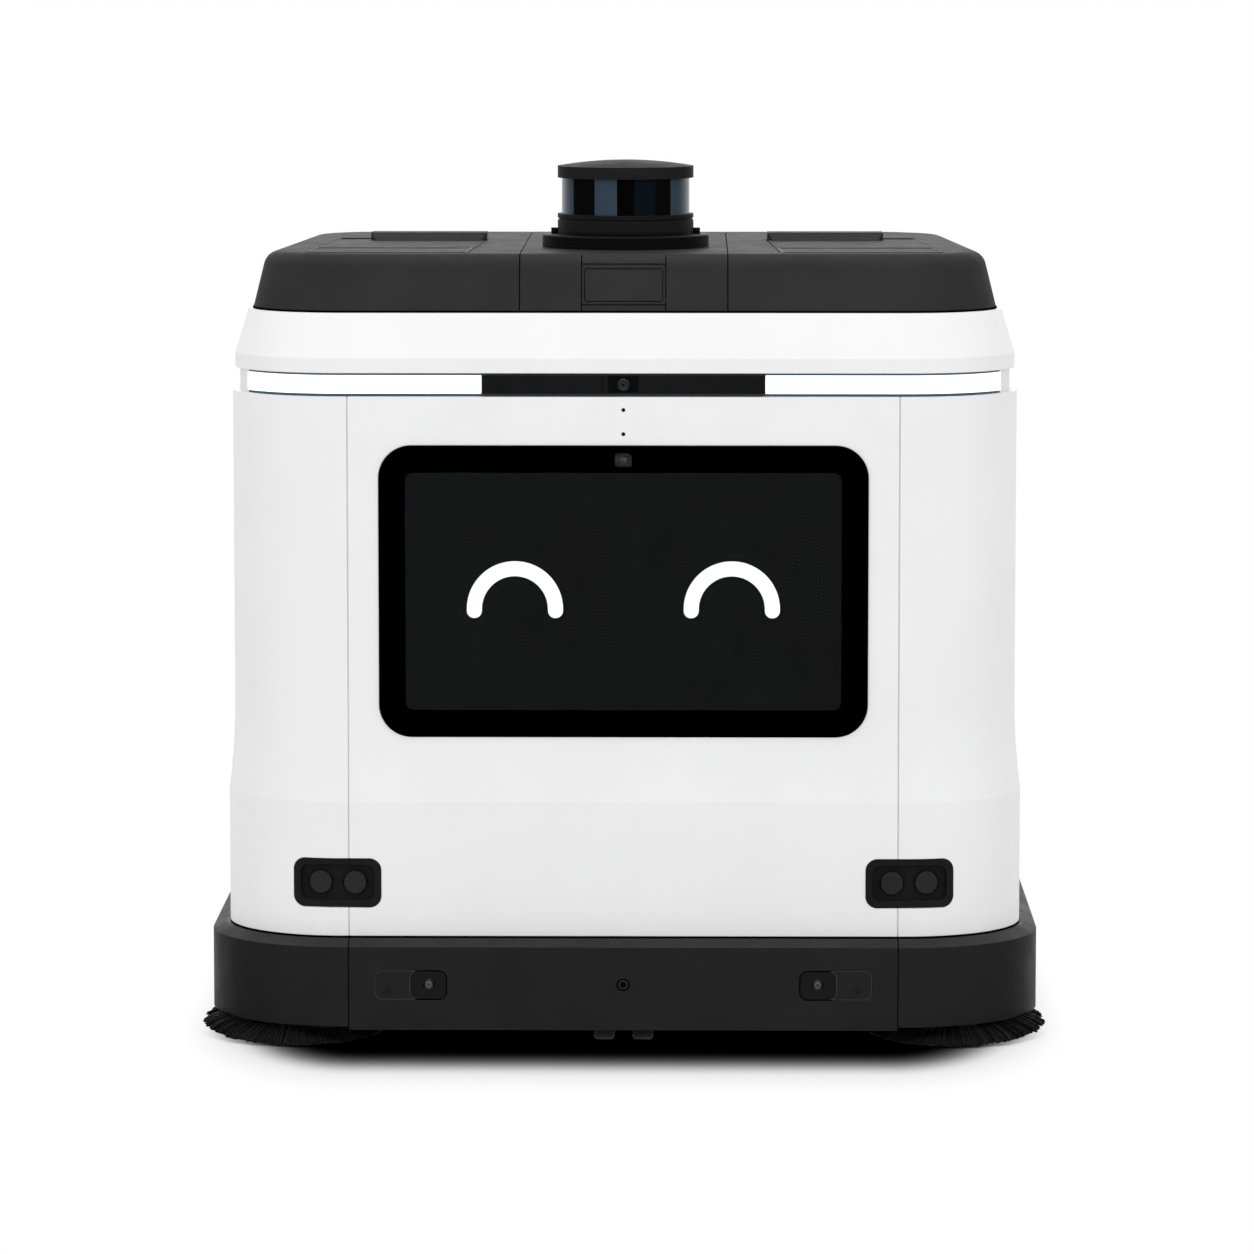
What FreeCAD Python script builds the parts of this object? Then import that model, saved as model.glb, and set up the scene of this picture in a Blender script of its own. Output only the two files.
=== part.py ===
import FreeCAD, Part
import math
import os
import Sketcher

# Floor-cleaning robot. Millimetres, +Z up, front towards -Y.
# The origin is on the floor, under the middle of the robot.

doc = FreeCAD.newDocument("CleaningRobot")
sheet = doc.addObject("Spreadsheet::Sheet", "Sizes")

# Driving dimensions: name, value
SIZES = [
    # outer line of the skirt, which every shell is set in from
    ("skirt_half_width", 324.0),
    ("skirt_half_depth", 235.0),
    ("skirt_corner", 107.0),
    # skirt
    ("skirt_bottom", 15.0),
    ("skirt_front_drop", 2.5),
    ("skirt_edge", 77.0),
    ("skirt_chamfer_in", 10.0),
    ("skirt_chamfer_up", 5.3),
    ("skirt_wall", 4.0),
    ("skirt_shelf", 22.0),
    ("slot_long", 46.0),
    ("slot_high", 9.0),
    ("slot_deep", 2.5),
    ("slot_y", -96.0),
    ("slot_z", 56.5),
    ("panel_seam", 212.0),
    ("seam_gap", 0.8),
    ("fit_gap", 0.3),
    ("run_gap", 0.05),
    # chassis
    ("chassis_top", 72.0),
    ("chassis_thick", 6.0),
    # white body
    ("body_inset", 13.5),
    ("body_bottom", 83.8),
    ("body_crease", 188.0),
    ("flare_top", 258.0),
    ("flare_in", 4.8),
    ("body_top", 501.0),
    ("body_wall", 3.0),
    ("tongue", 1.5),
    ("sound_hole_radius", 1.5),
    ("sound_hole_drop", 10.0),
    ("sound_hole_apart", 18.6),
    ("flange_wide", 14.0),
    # light strip
    ("band_inset", 24.0),
    ("band_wide", 10.0),
    ("strip_inset", 20.5),
    ("band_high", 18.0),
    ("strip_rise", 2.3),
    ("strip_tall", 14.0),
    ("bar_inner_end", 109.0),
    ("bar_end_in", 33.0),
    ("line_wide", 0.6),
    ("line_x", 16.0),
    ("module_half", 11.2),
    # shoulder
    ("lip_inset", 20.3),
    ("lip_high", 11.2),
    ("slope_in", 10.7),
    ("shoulder_high", 45.5),
    # top cover
    ("cover_inset", 34.5),
    ("cover_taper", 4.0),
    ("cover_high", 44.6),
    ("cover_lean", 14.0),
    ("cover_round", 13.0),
    ("cover_wall", 3.0),
    ("cover_seam", 80.0),
    # lids
    ("lid_front_inner", 121.0),
    ("lid_front_in", 77.0),
    ("lid_rear_inner", 113.0),
    ("lid_rear_in", 92.0),
    ("lid_front_y", -170.0),
    ("lid_rear_y", 44.0),
    ("lid_thick", 3.0),
    ("lid_corner_cut", 9.5),
    ("lid_line_y", -95.0),
    ("lid_gap", 0.8),
    ("lid_pin_radius", 1.75),
    ("lid_pin_back", 16.0),
    ("lid_pin_drop", 4.0),
    ("lid_pin_long", 5.0),
    ("seat_wide", 8.0),
    ("seat_deep", 14.0),
    ("grip_high", 6.0),
    ("grip_deep", 26.0),
    ("grip_over", 16.0),
    ("scoop_deep", 9.0),
    # service flap
    ("flap_wide", 64.0),
    ("flap_high", 31.0),
    ("flap_thick", 3.0),
    ("flap_foot", 6.5),
    ("flap_gap", 0.8),
    ("flap_pin_radius", 1.2),
    ("flap_pin_long", 3.0),
    ("port_deep", 14.0),
    # laser scanner
    ("scanner_y", -65.0),
    ("flange_radius", 65.5),
    ("flange_high", 10.0),
    ("scanner_radius", 53.5),
    ("scanner_base_high", 26.0),
    ("ear_radius", 2.9),
    ("ear_high", 4.7),
    ("window_radius", 50.3),
    ("window_wall", 2.3),
    ("window_high", 28.3),
    ("cap_high", 9.2),
    ("dome_high", 4.6),
    ("rotor_radius", 40.0),
    ("rotor_high", 21.0),
    ("spindle_radius", 5.0),
    # display
    ("display_wide", 376.0),
    ("display_high", 225.0),
    ("display_corner", 25.0),
    ("display_drop", 150.0),
    ("screen_wide", 335.0),
    ("screen_high", 183.0),
    ("screen_corner", 6.0),
    ("screen_thick", 5.0),
    ("screen_sunk", 0.4),
    ("eye_wide", 13.0),
    ("eye_high", 10.6),
    ("eye_corner", 3.0),
    ("eye_deep", 1.6),
    ("eye_drop", 11.0),
    ("eye_radius", 2.6),
    ("glass_thick", 1.2),
    ("glass_proud", 1.8),
    ("housing_deep", 14.0),
    # sensors
    ("pod_in", 103.0),
    ("pod_z", 125.0),
    ("pod_wide", 68.0),
    ("pod_high", 38.0),
    ("pod_corner", 9.0),
    ("pod_deep", 12.0),
    ("pod_proud", 0.6),
    ("pod_turn", 7.0),
    ("pod_rim", 5.0),
    ("pod_recess", 5.0),
    ("pod_lens_radius", 8.5),
    ("pod_lens_apart", 27.0),
    ("lens_thick", 3.0),
    ("pill_x", 164.0),
    ("pill_z", 47.5),
    ("pill_wide", 56.0),
    ("pill_high", 23.0),
    ("pill_corner", 6.5),
    ("pill_sunk", 0.5),
    ("pill_lens_x", 150.0),
    ("pill_lens_radius", 4.4),
    ("camera_radius", 6.0),
    ("camera_z", 48.0),
    ("strip_lens_radius", 4.5),
    ("strip_lens_rise", 9.3),
    # side brushes
    ("brush_in", 70.0),
    ("brush_reach", 10.0),
    ("brush_radius", 76.0),
    ("brush_tilt", 6.0),
    ("brush_lift", 0.8),
    ("brush_tip", 2.2),
    ("hub_radius", 28.0),
    ("hub_low", 4.0),
    ("hub_high", 12.0),
    ("brush_shaft_radius", 6.0),
    ("brush_shaft_high", 70.0),
    ("brush_motor_radius", 22.0),
    ("brush_motor_high", 96.0),
    # main roller
    ("roller_y", -56.0),
    ("roller_radius", 40.0),
    ("roller_core_radius", 30.0),
    ("roller_long", 356.0),
    ("roller_lift", 1.0),
    ("roller_shaft_radius", 8.0),
    ("roller_room", 6.0),
    ("roller_end_wall", 14.0),
    ("roller_end_gap", 4.0),
    ("roller_skin", 8.0),
    ("roller_flange", 8.0),
    # drive wheels
    ("wheel_in", 69.0),
    ("wheel_y", 62.0),
    ("wheel_radius", 80.0),
    ("wheel_wide", 36.0),
    ("tyre_thick", 14.0),
    ("tread_groove", 3.0),
    ("tread_deep", 2.5),
    ("wheel_room", 6.0),
    ("axle_radius", 8.0),
    ("gearbox_wide", 44.0),
    ("gearbox_deep", 60.0),
    ("gearbox_high", 46.0),
    ("motor_radius", 24.0),
    ("motor_gap", 25.0),
    # front caster
    ("caster_room", 6.0),
    ("caster_trail", 30.0),
    ("caster_radius", 22.5),
    ("caster_wide", 16.0),
    ("caster_block", 12.0),
    ("caster_side_gap", 1.0),
    ("caster_axle_radius", 4.0),
    ("caster_disc_radius", 20.0),
    ("caster_disc_high", 10.0),
    ("caster_stem_radius", 8.0),
    ("caster_stem_over", 8.0),
    # squeegee
    ("squeegee_half", 226.0),
    ("squeegee_in", 57.0),
    ("squeegee_deep", 16.0),
    ("squeegee_low", 20.0),
    ("squeegee_high", 24.0),
    ("arm_x", 120.0),
    ("arm_wide", 14.0),
    ("arm_high", 12.0),
    ("arm_long", 62.0),
    ("arm_pin_radius", 5.0),
    ("lug_thick", 8.0),
    ("blade_thick", 3.0),
    ("blade_gap", 4.0),
    ("blade_lift", 1.0),
    # inside
    ("shelf_low", 222.0),
    ("shelf_thick", 6.0),
    ("shelf_in", 36.0),
    ("shelf_front", -158.0),
    ("shelf_rear", 176.0),
    ("post_side", 20.0),
    ("post_in", 119.0),
    ("post_front_y", -140.0),
    ("post_rear_y", 160.0),
    ("tank_inner", 95.0),
    ("tank_in", 44.0),
    ("tank_front", -150.0),
    ("tank_rear", 155.0),
    ("tank_wall", 4.0),
    ("mouth_inner", 128.0),
    ("mouth_in", 96.0),
    ("mouth_front", -146.0),
    ("mouth_rear", 36.0),
    ("battery_wide", 150.0),
    ("battery_front", 20.0),
    ("battery_deep", 140.0),
    ("battery_high", 120.0),
    ("fan_radius", 52.0),
    ("fan_high", 96.0),
    ("fan_y", 90.0),
    ("pump_y", -5.0),
    ("pump_side", 54.0),
    ("pump_high", 80.0),
    ("control_wide", 150.0),
    ("control_deep", 34.0),
    ("control_high", 190.0),
    ("control_y", -110.0),
    ("fin_count", 9.0),
    ("fin_thick", 3.0),
    ("fin_deep", 9.0),
    # back
    ("charge_half", 52.0),
    ("charge_low", 28.0),
    ("charge_high", 36.0),
    ("contact_x", 22.0),
    ("contact_wide", 16.0),
    ("contact_tall", 24.0),
    ("contact_thick", 0.8),
    ("stop_x", 90.0),
    ("button_drop", 71.0),
    ("stop_radius", 20.0),
    ("stop_cap", 12.0),
    ("stop_stem_radius", 10.0),
    ("stop_travel", 4.0),
    ("stop_stem_long", 16.0),
    ("power_x", 150.0),
    ("power_radius", 9.0),
    ("power_proud", 2.5),
    ("power_long", 12.0),
]


class Size:
    """A length with its value and the sheet expression that gives it."""

    def __init__(self, value, text):
        self.value = value
        self.text = text

    def __add__(self, other):
        other = as_size(other)
        return Size(self.value + other.value, f"({self.text} + {other.text})")

    def __sub__(self, other):
        other = as_size(other)
        return Size(self.value - other.value, f"({self.text} - {other.text})")

    def __mul__(self, other):
        other = as_size(other)
        return Size(self.value * other.value, f"({self.text} * {other.text})")

    def __truediv__(self, other):
        other = as_size(other)
        return Size(self.value / other.value, f"({self.text} / {other.text})")

    def __neg__(self):
        return Size(-self.value, f"(0 - {self.text})")


def as_size(number):
    """Give a plain number the form of a size."""
    if isinstance(number, Size):
        return number
    return Size(float(number), f"({float(number)})")


def cosine(angle):
    """Cosine of an angle in degrees."""
    return Size(math.cos(math.radians(angle.value)), f"cos({angle.text})")


def sine(angle):
    """Sine of an angle in degrees."""
    return Size(math.sin(math.radians(angle.value)), f"sin({angle.text})")


class Sizes:
    """The driving dimensions by name."""


d = Sizes()
for row, (name, value) in enumerate(SIZES, start=1):
    cell = f"B{row}"
    sheet.set(f"A{row}", name)
    sheet.set(cell, str(value))
    sheet.setAlias(cell, name)
    setattr(d, name, Size(value, f"Sizes.{name}"))
doc.recompute()

ZERO = as_size(0)
FAR = d.skirt_half_width * 2


# Helpers

def bind(target, prop, size):
    """Tie a property of an object to the sheet."""
    target.setExpression(prop, as_size(size).text)


def place(target, x, y, z, angle=None, axis=(1, 0, 0)):
    """Place an object at sheet sizes, turned by an angle in degrees about an axis."""
    where = [as_size(number) for number in (x, y, z)]
    turn = FreeCAD.Rotation()
    if angle is not None:
        turn = FreeCAD.Rotation(FreeCAD.Vector(*axis), as_size(angle).value)
    base = FreeCAD.Vector(*[number.value for number in where])
    target.Placement = FreeCAD.Placement(base, turn)
    for letter, number in zip("xyz", where):
        bind(target, f"Placement.Base.{letter}", number)
    if angle is not None:
        bind(target, "Placement.Rotation.Angle", angle)
    return target


def box(name, x0, x1, y0, y1, z0, z1):
    """A block between two corners."""
    block = doc.addObject("Part::Box", name)
    x0, x1, y0, y1, z0, z1 = [as_size(number) for number in (x0, x1, y0, y1, z0, z1)]
    bind(block, "Length", x1 - x0)
    bind(block, "Width", y1 - y0)
    bind(block, "Height", z1 - z0)
    return place(block, x0, y0, z0)


def cylinder(name, radius, length, x, y, z, along="Z"):
    """A round bar from a point along an axis."""
    bar = doc.addObject("Part::Cylinder", name)
    bind(bar, "Radius", radius)
    bind(bar, "Height", length)
    if along == "X":
        return place(bar, x, y, z, 90, (0, 1, 0))
    if along == "Y":
        return place(bar, x, y, z, -90, (1, 0, 0))
    return place(bar, x, y, z)


def fuse(name, *solids):
    """One solid from several."""
    joined = doc.addObject("Part::MultiFuse", name)
    joined.Shapes = list(solids)
    joined.Refine = True
    return joined


def cut(name, base, *tools):
    """A solid with others taken away."""
    for count, tool in enumerate(tools):
        last = count == len(tools) - 1
        step = doc.addObject("Part::Cut", name if last else f"{name}_step{count}")
        step.Base = base
        step.Tool = tool
        base = step
    return base


def common(name, base, tool):
    """What two solids share."""
    shared = doc.addObject("Part::Common", name)
    shared.Base = base
    shared.Tool = tool
    return shared


def group(name, *solids):
    """Separate solids that share one node."""
    joined = doc.addObject("Part::Compound", name)
    joined.Links = list(solids)
    return joined


def new_body(name):
    """An empty body."""
    return doc.addObject("PartDesign::Body", name)


def new_sketch(body, name, plane, offset=None):
    """A sketch on one of the body's origin planes, moved along the plane's normal."""
    sketch = body.newObject("Sketcher::SketchObject", name)
    support = [item for item in body.Origin.OriginFeatures if item.Role == plane][0]
    sketch.AttachmentSupport = [(support, "")]
    sketch.MapMode = "FlatFace"
    if offset is not None:
        bind(sketch, "AttachmentOffset.Base.z", offset)
    return sketch


def pin_point(sketch, geometry, point, x, y):
    """Fix a sketch point at sheet sizes from the sketch's origin."""
    for kind, number in (("DistanceX", x), ("DistanceY", y)):
        number = as_size(number)
        index = sketch.addConstraint(Sketcher.Constraint(kind, -1, 1, geometry, point, number.value))
        sketch.setExpression(f"Constraints[{index}]", number.text)


def flat(x, y):
    """A sketch vector."""
    return FreeCAD.Vector(as_size(x).value, as_size(y).value, 0)


def arc_centre(start, end, fixed, known):
    """Centre of an arc between two points, with one of its coordinates known."""
    if fixed == "x":
        across = (end.x - known) ** 2 - (start.x - known) ** 2
        other = (end.y ** 2 - start.y ** 2 + across) / (2 * (end.y - start.y))
        return FreeCAD.Vector(known, other, 0)
    across = (end.y - known) ** 2 - (start.y - known) ** 2
    other = (end.x ** 2 - start.x ** 2 + across) / (2 * (end.x - start.x))
    return FreeCAD.Vector(other, known, 0)


def outline(sketch, points):
    """Draw a closed outline.

    A point is (x, y) where a line follows it, or (x, y, "x" or "y", number) where an arc does,
    and the number is that coordinate of the arc's centre. Arcs turn the shorter way.
    """
    corners = [flat(point[0], point[1]) for point in points]
    ends = []
    for index, point in enumerate(points):
        start = corners[index]
        end = corners[(index + 1) % len(points)]
        if len(point) == 2:
            geometry = sketch.addGeometry(Part.LineSegment(start, end), False)
            ends.append((geometry, 1, 2))
            continue
        known = as_size(point[3])
        centre = arc_centre(start, end, point[2], known.value)
        angles = [math.atan2(corner.y - centre.y, corner.x - centre.x) for corner in (start, end)]
        forward = (angles[1] - angles[0]) % (2 * math.pi) < math.pi
        first, last = angles if forward else reversed(angles)
        circle = Part.Circle(centre, FreeCAD.Vector(0, 0, 1), (start - centre).Length)
        geometry = sketch.addGeometry(Part.ArcOfCircle(circle, first, last), False)
        ends.append((geometry, 1, 2) if forward else (geometry, 2, 1))
        kind = "DistanceX" if point[2] == "x" else "DistanceY"
        index = sketch.addConstraint(Sketcher.Constraint(kind, -1, 1, geometry, 3, known.value))
        sketch.setExpression(f"Constraints[{index}]", known.text)
    for index, (geometry, first, last) in enumerate(ends):
        following = ends[(index + 1) % len(ends)]
        sketch.addConstraint(Sketcher.Constraint("Coincident", geometry, last, following[0], following[1]))
        pin_point(sketch, geometry, first, points[index][0], points[index][1])
    return sketch


def rounded(sketch, x0, x1, y0, y1, corner):
    """Draw a rectangle with round corners, from the middle of its +X side."""
    x0, x1, y0, y1, corner = [as_size(number) for number in (x0, x1, y0, y1, corner)]
    return outline(sketch, [
        (x1, (y0 + y1) / 2),
        (x1, y1 - corner, "x", x1 - corner),
        (x1 - corner, y1),
        (x0 + corner, y1, "x", x0 + corner),
        (x0, y1 - corner),
        (x0, y0 + corner, "x", x0 + corner),
        (x0 + corner, y0),
        (x1 - corner, y0, "x", x1 - corner),
        (x1, y0 + corner),
    ])


def rectangle(sketch, x0, x1, y0, y1):
    """Draw a rectangle."""
    return outline(sketch, [(x0, y0), (x1, y0), (x1, y1), (x0, y1)])


def circle(sketch, x, y, radius):
    """Draw a circle."""
    radius = as_size(radius)
    shape = Part.Circle(flat(x, y), FreeCAD.Vector(0, 0, 1), radius.value)
    geometry = sketch.addGeometry(shape, False)
    index = sketch.addConstraint(Sketcher.Constraint("Radius", geometry, radius.value))
    sketch.setExpression(f"Constraints[{index}]", radius.text)
    pin_point(sketch, geometry, 3, x, y)
    return sketch


def pad(body, sketch, length, back=False):
    """Raise a sketch along its normal, or against it."""
    feature = body.newObject("PartDesign::Pad", f"{sketch.Name}_pad")
    feature.Profile = sketch
    bind(feature, "Length", length)
    feature.Reversed = back
    return feature


def pocket(body, sketch, length):
    """Cut a sketch against its normal."""
    feature = body.newObject("PartDesign::Pocket", f"{sketch.Name}_pocket")
    feature.Profile = sketch
    bind(feature, "Length", length)
    return feature


def turned(name, points):
    """A body of revolution about its own Z axis, from points (radius, height)."""
    body = new_body(name)
    sketch = outline(new_sketch(body, f"{name}_profile", "XZ_Plane"), points)
    feature = body.newObject("PartDesign::Revolution", f"{name}_turn")
    feature.Profile = sketch
    feature.ReferenceAxis = (sketch, ["V_Axis"])
    feature.Angle = 360
    return body


def swept_ring(name, points):
    """A ring with one wall section all round the robot.

    The section's points are (distance in from the skirt's outer line, height).
    """
    body = new_body(name)
    path = new_sketch(body, f"{name}_path", "XY_Plane")
    rounded(path, -d.skirt_half_width, d.skirt_half_width, -d.skirt_half_depth, d.skirt_half_depth,
            d.skirt_corner)
    section = new_sketch(body, f"{name}_section", "XZ_Plane")
    outline(section, [(d.skirt_half_width - point[0], *point[1:]) for point in points])
    feature = body.newObject("PartDesign::AdditivePipe", f"{name}_sweep")
    feature.Profile = section
    doc.recompute()
    edges = [f"Edge{number + 1}" for number in range(len(path.Shape.Edges))]
    feature.Spine = (path, edges)
    return body


nodes = []


def node(shape, name):
    """Hand in a finished shape as one named piece."""
    shape.Label = name
    nodes.append(shape)
    return shape


def side_x(side, inner, outer):
    """The two X limits of a span that lies on the left (-1) or right (1)."""
    if side < 0:
        return -outer, -inner
    return inner, outer


SIDES = (("left", -1), ("right", 1))


# Heights and places that several pieces share

shelf_height = d.skirt_edge + d.skirt_chamfer_up
chassis_bottom = d.chassis_top - d.chassis_thick
body_face = d.body_inset + d.flare_in
front_y = -(d.skirt_half_depth - body_face)
rear_y = d.skirt_half_depth - body_face
seam_low = d.panel_seam - d.seam_gap / 2
seam_high = d.panel_seam + d.seam_gap / 2
lip_bottom = d.body_top + d.band_high
deck_top = lip_bottom + d.shoulder_high
deck_bottom = deck_top - d.body_wall
roof = deck_top + d.cover_high
strip_low = d.body_top + d.strip_rise
strip_high = strip_low + d.strip_tall
strip_lens_z = d.body_top + d.strip_lens_rise
display_z = d.body_top - d.display_drop
button_z = d.body_top - d.button_drop
bar_outer_end = d.skirt_half_width - d.bar_end_in
lid_front_outer = d.skirt_half_width - d.lid_front_in
lid_rear_outer = d.skirt_half_width - d.lid_rear_in
mouth_outer = d.skirt_half_width - d.mouth_in
pod_x = d.skirt_half_width - d.pod_in
brush_x = d.skirt_half_width - d.brush_in
wheel_x = d.skirt_half_width - d.wheel_in
post_x = d.skirt_half_width - d.post_in
tank_outer = d.skirt_half_width - d.tank_in
shelf_half_wide = d.skirt_half_width - d.shelf_in
squeegee_y = d.skirt_half_depth - d.squeegee_in
lowest = ZERO
highest = roof + d.cover_high * 4


# Skirt: an upright wall, a sloping top edge and a shelf that rests on the chassis

skirt_ring = swept_ring("skirt_ring", [
    (ZERO, d.skirt_bottom - d.skirt_front_drop),
    (ZERO, d.skirt_edge),
    (d.skirt_chamfer_in, shelf_height),
    (d.skirt_shelf, shelf_height),
    (d.skirt_shelf, d.chassis_top),
    (d.skirt_wall, d.chassis_top),
    (d.skirt_wall, d.skirt_bottom - d.skirt_front_drop),
])


def pill(name, x, grow, y, thick):
    """A flat window plate facing the front, centred on x, or the room for it where it is grown."""
    long = d.pill_wide + grow * 2
    high = d.pill_high + grow * 2
    body = new_body(name)
    sketch = new_sketch(body, f"{name}_outline", "XZ_Plane")
    rounded(sketch, -long / 2, long / 2, -high / 2, high / 2, d.pill_corner + grow)
    pad(body, sketch, thick, back=True)
    return place(body, x, y, d.pill_z)


skirt_front_y = -d.skirt_half_depth
skirt_holes = [
    cylinder("camera_hole", d.camera_radius + d.run_gap, d.skirt_wall * 3,
             0, skirt_front_y - d.skirt_wall, d.camera_z, "Y"),
]
slot_floor = d.skirt_half_width - d.slot_deep
windows = []
for side_name, side in SIDES:
    skirt_holes.append(box(f"side_slot_{side_name}", *side_x(side, slot_floor, FAR),
                           d.slot_y, d.slot_y + d.slot_long, d.slot_z, d.slot_z + d.slot_high))
    skirt_holes.append(pill(f"pill_hole_{side_name}", d.pill_x * side, d.fit_gap,
                            skirt_front_y - d.skirt_wall, d.skirt_wall * 3))
    plate = pill(f"pill_{side_name}", d.pill_x * side, ZERO,
                 skirt_front_y + d.pill_sunk, d.skirt_wall - d.pill_sunk)
    hole = cylinder(f"pill_lens_hole_{side_name}", d.pill_lens_radius + d.run_gap, d.skirt_wall * 3,
                    d.pill_lens_x * side, skirt_front_y - d.skirt_wall, d.camera_z, "Y")
    windows.append(cut(f"pill_window_{side_name}", plate, hole))
skirt_cut = cut("skirt_cut", skirt_ring, fuse("skirt_openings", *skirt_holes))
front_zone = box("skirt_front_zone", -seam_low, seam_low, -FAR, ZERO, lowest, highest)
node(common("skirt_front_piece", skirt_cut, front_zone), "skirt_front")
for side_name, side in SIDES:
    corner_zone = box(f"skirt_corner_zone_{side_name}", *side_x(side, seam_high, FAR),
                      -FAR, FAR, d.skirt_bottom, highest)
    back_zone = box(f"skirt_back_zone_{side_name}", *side_x(side, d.seam_gap / 2, FAR),
                    ZERO, FAR, d.skirt_bottom, highest)
    zone = fuse(f"skirt_zone_{side_name}", corner_zone, back_zone)
    node(common(f"skirt_piece_{side_name}", skirt_cut, zone), f"skirt_{side_name}")
node(group("skirt_window_pair", *windows), "skirt_windows")


# White body: a straight lower band, a crease, a concave flare and a straight upper wall,
# with a tongue that stands on the skirt and a flange that carries the light band

body_inner = d.body_inset + d.body_wall
face_inner = body_face + d.body_wall
body_ring = swept_ring("body_ring", [
    (d.body_inset, d.body_bottom),
    (d.body_inset, d.body_crease, "y", d.flare_top),
    (body_face, d.flare_top),
    (body_face, d.body_top),
    (body_face + d.flange_wide, d.body_top),
    (body_face + d.flange_wide, d.body_top - d.body_wall),
    (face_inner, d.body_top - d.body_wall),
    (face_inner, d.flare_top, "y", d.flare_top),
    (body_inner, d.body_crease),
    (body_inner, shelf_height),
    (body_inner - d.tongue, shelf_height),
    (body_inner - d.tongue, d.body_bottom),
])


def screen_plate(name, wide, high, corner, y, thick, z=display_z):
    """An upright plate with round corners, centred at z, with its front face at y."""
    body = new_body(name)
    sketch = new_sketch(body, f"{name}_outline", "XZ_Plane")
    rounded(sketch, -wide / 2, wide / 2, -high / 2, high / 2, corner)
    pad(body, sketch, thick, back=True)
    return place(body, 0, y, z)


def pod_plate(name, side, wide, high, corner, forward, thick):
    """A plate across the front of a sensor pod, turned with the corner of the body."""
    body = new_body(name)
    sketch = new_sketch(body, f"{name}_outline", "XZ_Plane", forward)
    rounded(sketch, -wide / 2, wide / 2, -high / 2, high / 2, corner)
    pad(body, sketch, thick, back=True)
    return place(body, pod_x * side, pod_y, d.pod_z, d.pod_turn * side, (0, 0, 1))


pod_y = -(d.skirt_half_depth - d.body_inset) + d.pod_wide / 2 * sine(d.pod_turn)
glass_y = front_y - d.glass_proud
housing_y = glass_y + d.glass_thick
gap_twice = d.fit_gap * 2
body_openings = [
    screen_plate("display_hole", d.display_wide + gap_twice, d.display_high + gap_twice,
                 d.display_corner + d.fit_gap, front_y - d.body_wall * 2, d.housing_deep),
    cylinder("stop_hole", d.stop_stem_radius + d.run_gap, d.body_wall * 4,
             d.stop_x, rear_y - d.body_wall * 2, button_z, "Y"),
    cylinder("power_hole", d.power_radius + d.run_gap, d.body_wall * 4,
             d.power_x, rear_y - d.body_wall * 2, button_z, "Y"),
]
for hole_name, lower in (("high", ZERO), ("low", d.sound_hole_apart)):
    body_openings.append(cylinder(f"sound_hole_{hole_name}", d.sound_hole_radius, d.body_wall * 4, 0,
                                  front_y - d.body_wall * 2, d.body_top - d.sound_hole_drop - lower, "Y"))
pods = {}
lenses = []
for side_name, side in SIDES:
    body_openings.append(pod_plate(f"pod_hole_{side_name}", side, d.pod_wide + gap_twice,
                                   d.pod_high + gap_twice, d.pod_corner + d.fit_gap,
                                   d.pod_deep, d.pod_deep * 2 + d.fit_gap))
    blank = pod_plate(f"pod_blank_{side_name}", side, d.pod_wide, d.pod_high, d.pod_corner,
                      d.pod_proud, d.pod_deep)
    recess = pod_plate(f"pod_recess_{side_name}", side, d.pod_wide - d.pod_rim * 2,
                       d.pod_high - d.pod_rim * 2, d.pod_corner - d.pod_rim / 2,
                       d.pod_proud + d.pod_recess, d.pod_recess * 2)
    pods[side_name] = cut(f"pod_{side_name}", blank, recess)
    for place_name, offset in (("inner", -1), ("outer", 1)):
        lens = new_body(f"pod_lens_{side_name}_{place_name}")
        sketch = new_sketch(lens, f"{lens.Name}_outline", "XZ_Plane", d.pod_proud - d.pod_recess)
        circle(sketch, d.pod_lens_apart / 2 * offset, 0, d.pod_lens_radius)
        pad(lens, sketch, d.lens_thick)
        place(lens, pod_x * side, pod_y, d.pod_z, d.pod_turn * side, (0, 0, 1))
        lenses.append(lens)
body_cut = cut("body_cut", body_ring, fuse("body_opening_tools", *body_openings))
node(common("front_panel_piece", body_cut,
            box("front_panel_zone", -seam_low, seam_low, -FAR, ZERO, lowest, highest)), "front_panel")
node(common("rear_panel_piece", body_cut,
            box("rear_panel_zone", -seam_low, seam_low, ZERO, FAR, lowest, highest)), "rear_panel")
for side_name, side in SIDES:
    zone = box(f"side_panel_zone_{side_name}", *side_x(side, seam_high, FAR), -FAR, FAR, lowest, highest)
    node(common(f"side_panel_piece_{side_name}", body_cut, zone), f"side_panel_{side_name}")
for side_name, side in SIDES:
    node(pods[side_name], f"sensor_pod_{side_name}")


# Display: a shallow housing, the screen in its pocket and a cover glass in front

housing = screen_plate("housing_blank", d.display_wide, d.display_high, d.display_corner,
                       housing_y, d.housing_deep)
screen_room = screen_plate("screen_room", d.screen_wide + gap_twice, d.screen_high + gap_twice,
                           d.screen_corner + d.fit_gap, housing_y - d.screen_thick, d.screen_thick * 2)
eye_z = display_z + d.display_high / 2 - d.eye_drop
eye_room = screen_plate("eye_room", d.eye_wide, d.eye_high, d.eye_corner,
                        housing_y - d.eye_deep, d.eye_deep * 2, eye_z)
lenses.append(cylinder("display_eye", d.eye_radius, d.eye_deep / 2,
                       0, housing_y + d.eye_deep / 2, eye_z, "Y"))
node(cut("housing_pocketed", housing, screen_room, eye_room), "display_housing")
node(screen_plate("screen_plate", d.screen_wide, d.screen_high, d.screen_corner,
                  housing_y + d.screen_sunk, d.screen_thick - d.screen_sunk), "display_panel")
node(screen_plate("glass_plate", d.display_wide, d.display_high, d.display_corner,
                  glass_y, d.glass_thick), "display_glass")


# Light strip: a black band in the recess, two light bars that wrap round the front corners,
# and a black strip with a camera between them

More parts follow.
